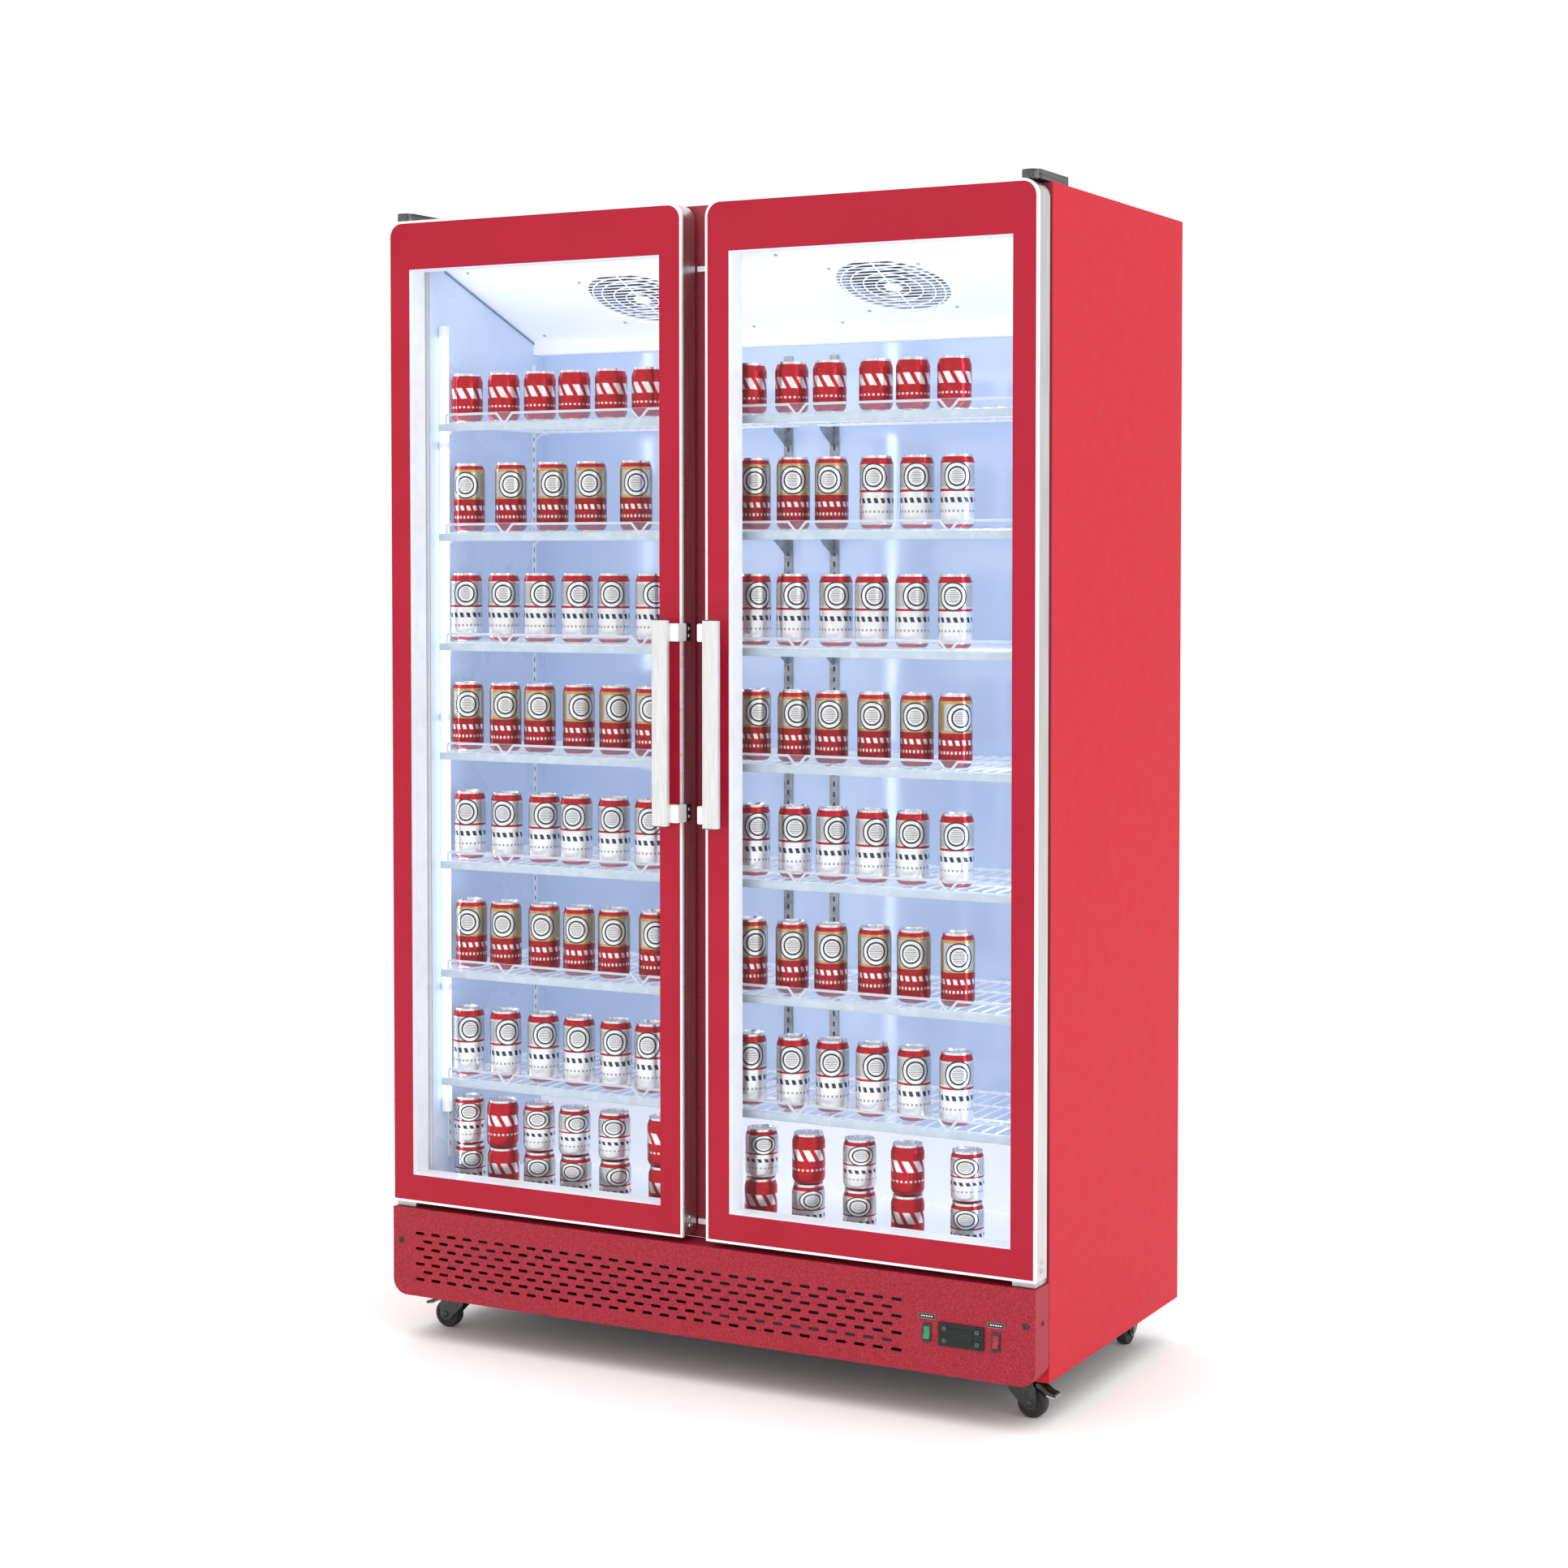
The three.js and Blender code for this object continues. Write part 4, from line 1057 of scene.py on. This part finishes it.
CANS = random.Random(7)
SIX = {kind: [kind] * 6 for kind in LABELS}
ALTERNATE = (SIX["white"], SIX["gold"]) * 2 + (SIX["white"],)
ROWS = {
    "left": (SIX["red"], ["gold"] * 5, *ALTERNATE),
    "right": (SIX["red"], ["gold"] * 3 + ["white"] * 3, *ALTERNATE),
}
STACKS = {
    "left": ((-0.540, "white", "white"), (-0.464, "red", "red"), (-0.387, "white", "white"),
             (-0.310, "white", "white"), (-0.228, "white", "white"), (-0.128, "red", "red")),
    "right": ((0.062, "white", "red"), (0.156, "red", "white"), (0.253, "white", "white"),
              (0.342, "red", "red"), (0.452, "white", "white")),
}


def add_cans():
    """A row on every shelf, and cans stacked two high on the deck."""
    starts, pitches = {"left": -536 * MM, "right": 48 * MM}, {5: 88 * MM, 6: 76.5 * MM}
    depth = -192 * MM
    for side_name, _ in SIDES:
        for number, kinds in zip(SHELVES, ROWS[side_name]):
            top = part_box(f"shelf_{side_name}_{number}")[1].z + 0.3 * MM
            height = SHORT if kinds[0] == "red" else TALL
            cans = []
            for i, kind in enumerate(kinds):
                x = starts[side_name] + i * pitches[len(kinds)] + CANS.uniform(-5, 5) * MM
                cans.append((kind, x, depth + CANS.uniform(-4, 4) * MM, top, height))
            add_can_row(f"cans_{side_name}_{number}", cans)
        cans = []
        for x, upper, lower in STACKS[side_name]:
            x += CANS.uniform(-3, 3) * MM
            cans.append((lower, x, depth, DECK_TOP + 1 * MM, SHORT))
            cans.append((upper, x + CANS.uniform(-2, 2) * MM, depth, DECK_TOP + SHORT + 1.2 * MM, SHORT))
        add_can_row(f"cans_{side_name}_floor", cans)


# ------------------------------------------------------------------ doors
PRINT_STILE, PRINT_TOP, PRINT_BOTTOM = 44 * MM, 86 * MM, 50 * MM


def add_door(name, side):
    """A door's printed border, bead, gasket, inner trims and edge screws, then its handle."""
    body = f"{name}_door"
    low, high = DOOR[name]
    paint("profile", f"{body}_frame")
    paint("glass", f"{body}_glass")
    soften(f"{body}_frame", 1.2 * MM)
    window_low = Vector((low.x + PRINT_STILE, 0, low.z + PRINT_BOTTOM))
    window_high = Vector((high.x - PRINT_STILE, 0, high.z - PRINT_TOP))

    bm = bmesh.new()
    outer = inset(low, high, 3.9 * MM, top=24 * MM, steps=12)
    add_plate(bm, outer, [inset(window_low, window_high, 0)], in_xz(GLASS_FRONT - 0.45 * MM), 0.4 * MM)
    piece(f"{body}_border", bm, "red_print", body)

    bm = bmesh.new()
    rim = inset(low, high, -0.2 * MM, top=28 * MM, steps=12)
    hole = inset(low, high, 4 * MM, top=24 * MM, steps=12)
    add_plate(bm, rim, [hole], in_xz(low.y - 0.8 * MM), 6 * MM)
    piece(f"{body}_bead", bm, "bead", body)

    bm = bmesh.new()
    margin = Vector((12 * MM, 0, 12 * MM))
    section = [(0, -0.5), (20, -0.5), (19, 3), (20, 6), (17, 9.6), (5, 9.6), (2, 6), (4, 3)]
    sweep_ring(bm, mm(section, (0, high.y)), low + margin, high - margin)
    piece(f"{body}_gasket", bm, "gasket", body)

    bm = bmesh.new()
    spans = ((GLASS_FRONT + 0.6 * MM, GLASS_BACK - 0.4 * MM), (GLASS_BACK + 0.2 * MM, high.y + 2 * MM))
    for start, end in spans:
        section = [(-1.2 * MM, start), (0.2 * MM, start), (0.2 * MM, end), (-1.2 * MM, end)]
        sweep_ring(bm, section, window_low, window_high)
    piece(f"{body}_inner_trim", bm, "white", body)

    bm = bmesh.new()
    for x, out in ((low.x, -1), (high.x, 1)):
        for z in (low.z + 16 * MM, low.z + 30 * MM):
            screw(bm, (x, low.y + 24 * MM, z), (out, 0, 0), 4.2 * MM)
    piece(f"{body}_side_screws", bm, "steel", body)
    add_handle(name, side, body)


def add_handle(name, side, body):
    """A flat brushed bar on two blocks that wrap the door's free edge, with dark pads and screws."""
    low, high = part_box(f"{body}_handle")
    free = DOOR[name][1].x if side < 0 else DOOR[name][0].x
    middle = free + side * 26 * MM
    bm = bmesh.new()
    outline = centred(middle, low.y + 6 * MM, 30 * MM, 12 * MM, 3.2 * MM, 3.2 * MM, 5)
    add_plate(bm, outline, [], in_xy(low.z + 1.5 * MM), high.z - low.z - 3 * MM)
    piece(f"{name}_handle_bar", bm, "handle", body, [f"{body}_handle"])

    bm = bmesh.new()
    cap = centred(middle, low.y + 6.05 * MM, 30.4 * MM, 12.3 * MM, 3.3 * MM, 3.3 * MM, 5)
    for z in (low.z, high.z - 1.6 * MM):
        add_plate(bm, cap, [], in_xy(z), 1.6 * MM)
    piece(f"{name}_handle_caps", bm, "gunmetal", body)

    blocks, pads = bmesh.new(), bmesh.new()
    outer = free - side * 4.7 * MM
    face = DOOR[name][0].y - 1.1 * MM
    screws = []
    for z in (low.z + 7 * MM, high.z - 37 * MM):
        top = z + 30 * MM
        left, right = sorted((middle + side * 2 * MM, outer))
        add_box(blocks, (left, low.y + 11.5 * MM, z), (right, face, top), 1.2 * MM)
        left, right = sorted((free - side * 0.5 * MM, outer))
        add_box(blocks, (left, face - 2 * MM, z), (right, face + 8 * MM, top), 0.8 * MM)
        add_box(pads, (left, face + 8.2 * MM, z), (right, face + 25 * MM, top), 1.2 * MM)
        screws += [(outer, face + 16 * MM, z + up * MM) for up in (9, 21)]
    piece(f"{name}_handle_blocks", blocks, "block", body)
    piece(f"{name}_handle_pads", pads, "black", body)
    add_screws(f"{name}_handle_screws", screws, (-side, 0, 0), 3.2 * MM, body)


# ------------------------------------------------------------------ hinges
def add_hinges():
    """Finishes, screws and a plastic bush for the door hinges."""
    for name, _ in SIDES:
        paint("gunmetal", f"top_hinge_{name}")
        paint("zinc", f"bottom_hinge_{name}")
        soften(f"top_hinge_{name}", 1.8 * MM, 3)
        soften(f"bottom_hinge_{name}", 1.0 * MM)
        low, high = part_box(f"top_hinge_{name}")
        places = [((low.x + high.x) / 2, FRONT + back, high.z) for back in (20 * MM, 55 * MM)]
        add_screws(f"top_hinge_screws_{name}", places, (0, 0, 1), 5 * MM)
        bm = bmesh.new()
        x, y, _ = JOINTS[f"{name}_door_hinge"]["pos_m"]
        collar = mm([(4.6, -0.2), (9, -0.2), (9, -1), (4.6, -1)], (0, ROOF[1].z + 0.6 * MM))
        add_lathe(bm, collar, Matrix.Translation((x, y, 0)), 24, closed=True)
        piece(f"top_hinge_bush_{name}", bm, "black")


# ------------------------------------------------------------------ kick panel and controls
def add_kick_panel():
    """The folded front panel with its round-ended air slots, cut-outs and fixing screws."""
    low, high = KICK
    sheet, corner, depth = 2 * MM, 28 * MM, high.y - low.y
    outline = inset(low, high, 0, bottom=corner, top=2 * MM, steps=12)
    holes = []
    for row in range(7):
        odd = row % 2
        for column in range(29 - odd):
            x = -0.567 + (column + odd / 2) * 33.8 * MM
            holes.append(stadium(x, (111 + row * 13.8) * MM, 20 * MM, 5.5 * MM))
    holes += [centred(x, SWITCH_Z, 12 * MM, 28 * MM) for x in SWITCH_X]
    holes.append(inset(*BEZEL, 3.5 * MM))
    bm = bmesh.new()
    add_plate(bm, outline, holes, in_xz(low.y), sheet)
    inner = inset(low, high, sheet, bottom=corner - sheet, top=1 * MM, steps=12)
    add_plate(bm, outline, [inner], in_xz(low.y + sheet), depth - sheet)
    bmesh.ops.remove_doubles(bm, verts=bm.verts, dist=0.02 * MM)
    panel = piece("kick_panel_sheet", bm, "kick", replaces=["kick_panel"])
    soften(panel, 0.6 * MM, angle=60)

    bm = bmesh.new()
    z = 178 * MM
    for side in (-1, 1):
        screw(bm, (side * 608 * MM, low.y, z), (0, -1, 0), 5.2 * MM)
        screw(bm, (side * high.x, low.y + 30 * MM, z), (side, 0, 0), 4.0 * MM)
    piece("kick_panel_screws", bm, "black")


ROCKERS = ("light_rocker", "power_rocker")
SWITCH_X = [(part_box(name)[0].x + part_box(name)[1].x) / 2 for name in ROCKERS]
SWITCH_Z = 146.5 * MM
KEYS = ("key_up", "key_down", "key_set", "key_power")


def add_switches():
    """A dark housing round each rocker, and above it a plate with a rim and a row of dashes."""
    face = KICK[0].y
    housings, plates, marks = bmesh.new(), bmesh.new(), bmesh.new()
    for x in SWITCH_X:
        outline = centred(x, SWITCH_Z, 15 * MM, 31 * MM, 1.5 * MM, 1.5 * MM, 4)
        hole = centred(x, SWITCH_Z, 10.8 * MM, 21.2 * MM)
        add_plate(housings, outline, [hole], in_xz(face - 2 * MM), 1.8 * MM)
        z = SWITCH_Z + 27 * MM
        bottom, top = z - 4.5 * MM, z + 4.5 * MM
        add_box(plates, (x - 15 * MM, face - 1.0 * MM, bottom),
                (x + 15 * MM, face - 0.1 * MM, top), 0.4 * MM, 1)
        rim = centred(x, z, 30 * MM, 9 * MM, 1 * MM, 1 * MM, 3)
        inside = centred(x, z, 28.8 * MM, 7.8 * MM)
        add_plate(marks, rim, [inside], in_xz(face - 1.15 * MM), 0.2 * MM, 1)
        for i in range(5):
            u = x + (i * 4.4 - 10.5) * MM
            add_box(marks, (u, face - 1.2 * MM, z - 0.9 * MM), (u + 3.0 * MM, face - 0.95 * MM, z + 0.9 * MM))
    piece("switch_housings", housings, "black")
    piece("switch_label_plates", plates, "black")
    piece("switch_label_marks", marks, "legend outline")


def add_controls():
    """Two rockers, and the controller with its display and four marked keys."""
    paint("green", "light_rocker")
    paint("red_lens", "power_rocker")
    paint("panel", "controller_bezel", *KEYS)
    soften("controller_bezel", 0.9 * MM, 3)
    for name in ROCKERS:
        soften(name, 0.6 * MM)
    add_switches()

    bm = bmesh.new()
    middle = (BEZEL[0] + BEZEL[1]) / 2
    front, half_x, half_z = BEZEL[0].y, 21 * MM, 11 * MM
    add_box(bm, (middle.x - half_x, front - 0.5 * MM, middle.z - half_z),
            (middle.x + half_x, front + 0.3 * MM, middle.z + half_z), 0.4 * MM, 2)
    piece("controller_display", bm, "panel")
    for key in KEYS:
        soften(key, 0.5 * MM)
        low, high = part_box(key)
        x, z, half_x, half_z = (low.x + high.x) / 2, (low.z + high.z) / 2, 0.9 * MM, 0.4 * MM
        bm = bmesh.new()
        add_box(bm, (x - half_x, low.y - 0.12 * MM, z - half_z), (x + half_x, low.y + 0.1 * MM, z + half_z))
        rim = inset(low, high, 0.5 * MM, 1 * MM, 1 * MM, 3)
        add_plate(bm, rim, [inset(low, high, 1.1 * MM)], in_xz(low.y - 0.1 * MM), 0.2 * MM)
        piece(f"{key}_mark", bm, "outline", f"{key}_cap")


# ------------------------------------------------------------------ machine compartment
def add_machinery():
    """Pipes and feet for the compressor, and baffles beside the condenser coil."""
    paint("fins", "evaporator_coil")
    paint("dark_fins", "condenser_coil")
    paint("black", "condenser_shroud", "compressor")
    soften("compressor", 1.5 * MM, 3)
    low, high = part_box("compressor")
    middle, top = (low + high) / 2, high.z
    x, y, back, coil_z = middle.x, middle.y, middle.y + 30 * MM, 120 * MM
    bm = bmesh.new()
    thin = [(x - 0.03, y, top - 8 * MM), (x - 0.03, y, top + 12 * MM), (x - 0.12, back, top + 12 * MM),
            (x - 0.12, back, coil_z), (-0.02, back, coil_z), (-0.02, -0.19, coil_z)]
    thick = [(x + 0.04, y, top - 14 * MM), (x + 0.04, y, top + 20 * MM), (x + 0.14, back, top + 20 * MM),
             (x + 0.14, back, 0.32)]
    add_tube(bm, thin, 3.2 * MM, 10)
    add_tube(bm, thick, 4.8 * MM, 10)
    piece("refrigerant_pipes", bm, "copper")

    bm = bmesh.new()
    foot = mm([(0, 0), (11, 0), (9, 3.5), (11, 7), (0, 7)])
    for sx, sy in QUADRANTS:
        add_lathe(bm, foot, Matrix.Translation((x + sx * 78 * MM, y + sy * 55 * MM, 78.5 * MM)), 20)
    piece("compressor_feet", bm, "rubber")

    low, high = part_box("condenser_coil")
    reach, top, front = INSIDE - 2 * MM, DECK[0].z - 2 * MM, low.y + 2 * MM
    bm = bmesh.new()
    for left, right in ((-reach, low.x - 3 * MM), (high.x + 3 * MM, reach)):
        plate = rounded(left, right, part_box("base_tray")[1].z + 1 * MM, top)
        add_plate(bm, plate, [], in_xz(front), 1.2 * MM)
        add_box(bm, (left, front - 10 * MM, top - 1.2 * MM), (right, front + 0.6 * MM, top))
    piece("condenser_baffles", bm, "tray")


# ------------------------------------------------------------------ casters
def caster_frame(name):
    """The swivel's place on the floor, with X along the way the wheel trails."""
    pivot = Vector(JOINTS[f"caster_swivel_{name}"]["pos_m"])
    hub = Vector(JOINTS[f"wheel_spin_{name}"]["pos_m"])
    heading = math.atan2(hub.y - pivot.y, hub.x - pivot.x)
    return Matrix.Translation((pivot.x, pivot.y, 0)) @ Matrix.Rotation(heading, 4, "Z")


def add_caster(name):
    """A swivel fork on its race, the wheel with its tyre, and four bolts."""
    place = caster_frame(name)
    bm = bmesh.new()
    race = [(0, 55.5), (9, 55.5), (9, 58), (20, 58), (23, 60), (23, 65), (19, 67), (19, 69.6), (0, 69.6)]
    add_lathe(bm, mm(race), place, 40)
    cheek = mm([(-17, 60), (-17, 46), (10, 19), (16, 15.5), (27, 15.5), (33, 22), (34, 40), (27, 60)])
    for y in (-15 * MM, 12.6 * MM):
        add_plate(bm, cheek, [], in_xz(y, place), 2.4 * MM)
    faces = add_box(bm, (-17 * MM, -15 * MM, 57.6 * MM), (27 * MM, 15 * MM, 60 * MM), 0.8 * MM)
    turn_faces(faces, place)
    axle = place @ Matrix.Translation((22 * MM, 0, 25 * MM)) @ Matrix.Rotation(math.pi / 2, 4, "X")
    nut = mm([(0, 17.5), (3.5, 17.5), (6, 16.4), (6, 15), (0, 15)])
    for turned, sides in ((1, 6), (-1, 20)):
        add_lathe(bm, nut, axle @ Matrix.Diagonal((1, 1, turned, 1)), sides)
    piece(f"caster_{name}_fork", bm, "fork", f"caster_{name}", [f"caster_fork_{name}"])

    bm = bmesh.new()
    half = [(25, 6), (24.3, 8.6), (22.5, 10), (18.5, 9.8), (17.5, 8.5), (9, 9.5), (8.5, 11), (3.4, 11)]
    tyre = [(radius, -out) for radius, out in reversed(half)] + half
    add_lathe(bm, mm(tyre), axle, 48, closed=True)
    piece(f"caster_{name}_wheel", bm, "rubber", f"wheel_{name}", [f"caster_wheel_{name}"])

    centre = place.translation + Vector((0, 0, 70 * MM))
    places = [centre + Vector((sx * 19 * MM, sy * 26 * MM, 0)) for sx, sy in QUADRANTS]
    add_screws(f"caster_{name}_bolts", places, (0, 0, -1), 4.5 * MM)


def add_brake(name):
    """The foot lever: a curved pad with a bright tread edge."""
    place = caster_frame(name)
    pad = [(31, 53), (37, 50), (46, 45.5), (52, 40.5), (62, 38), (66, 40.5), (64, 44), (54, 47), (46, 53),
           (38, 59), (31, 59)]
    rim = [(50, 40), (61, 37.4), (66.4, 40.2), (61.5, 39.6), (51, 42.4)]
    tip = [(60.5, 37.2), (62.5, 37.6), (66.8, 40.3), (66, 41.4), (61.5, 38.6)]
    bm = bmesh.new()
    add_plate(bm, mm(pad), [], in_xz(-11.8 * MM, place), 23.6 * MM)
    piece(f"caster_{name}_brake", bm, "fork", f"brake_{name}", [f"brake_lever_{name}"])
    bm = bmesh.new()
    for outline, y, width in ((rim, -12.2, 1), (rim, 11.2, 1), (tip, -11.2, 22.4)):
        add_plate(bm, mm(outline), [], in_xz(y * MM, place), width * MM)
    piece(f"caster_{name}_brake_tread", bm, "steel", f"brake_{name}")


# ------------------------------------------------------------------ put it together
add_camera()
add_studio()
add_interior_light()
add_cabinet()
add_fans()
add_cover_details()
add_pilasters()
add_tubes()
for side_name, side_sign in SIDES:
    for shelf_number in SHELVES:
        add_shelf(side_name, shelf_number)
    add_shelf_supports(side_name, side_sign)
add_cans()
for side_name, side_sign in SIDES:
    add_door(side_name, side_sign)
add_hinges()
add_kick_panel()
add_controls()
add_machinery()
for caster_name in CASTERS:
    add_caster(caster_name)
for caster_name in CASTERS[:2]:
    add_brake(caster_name)
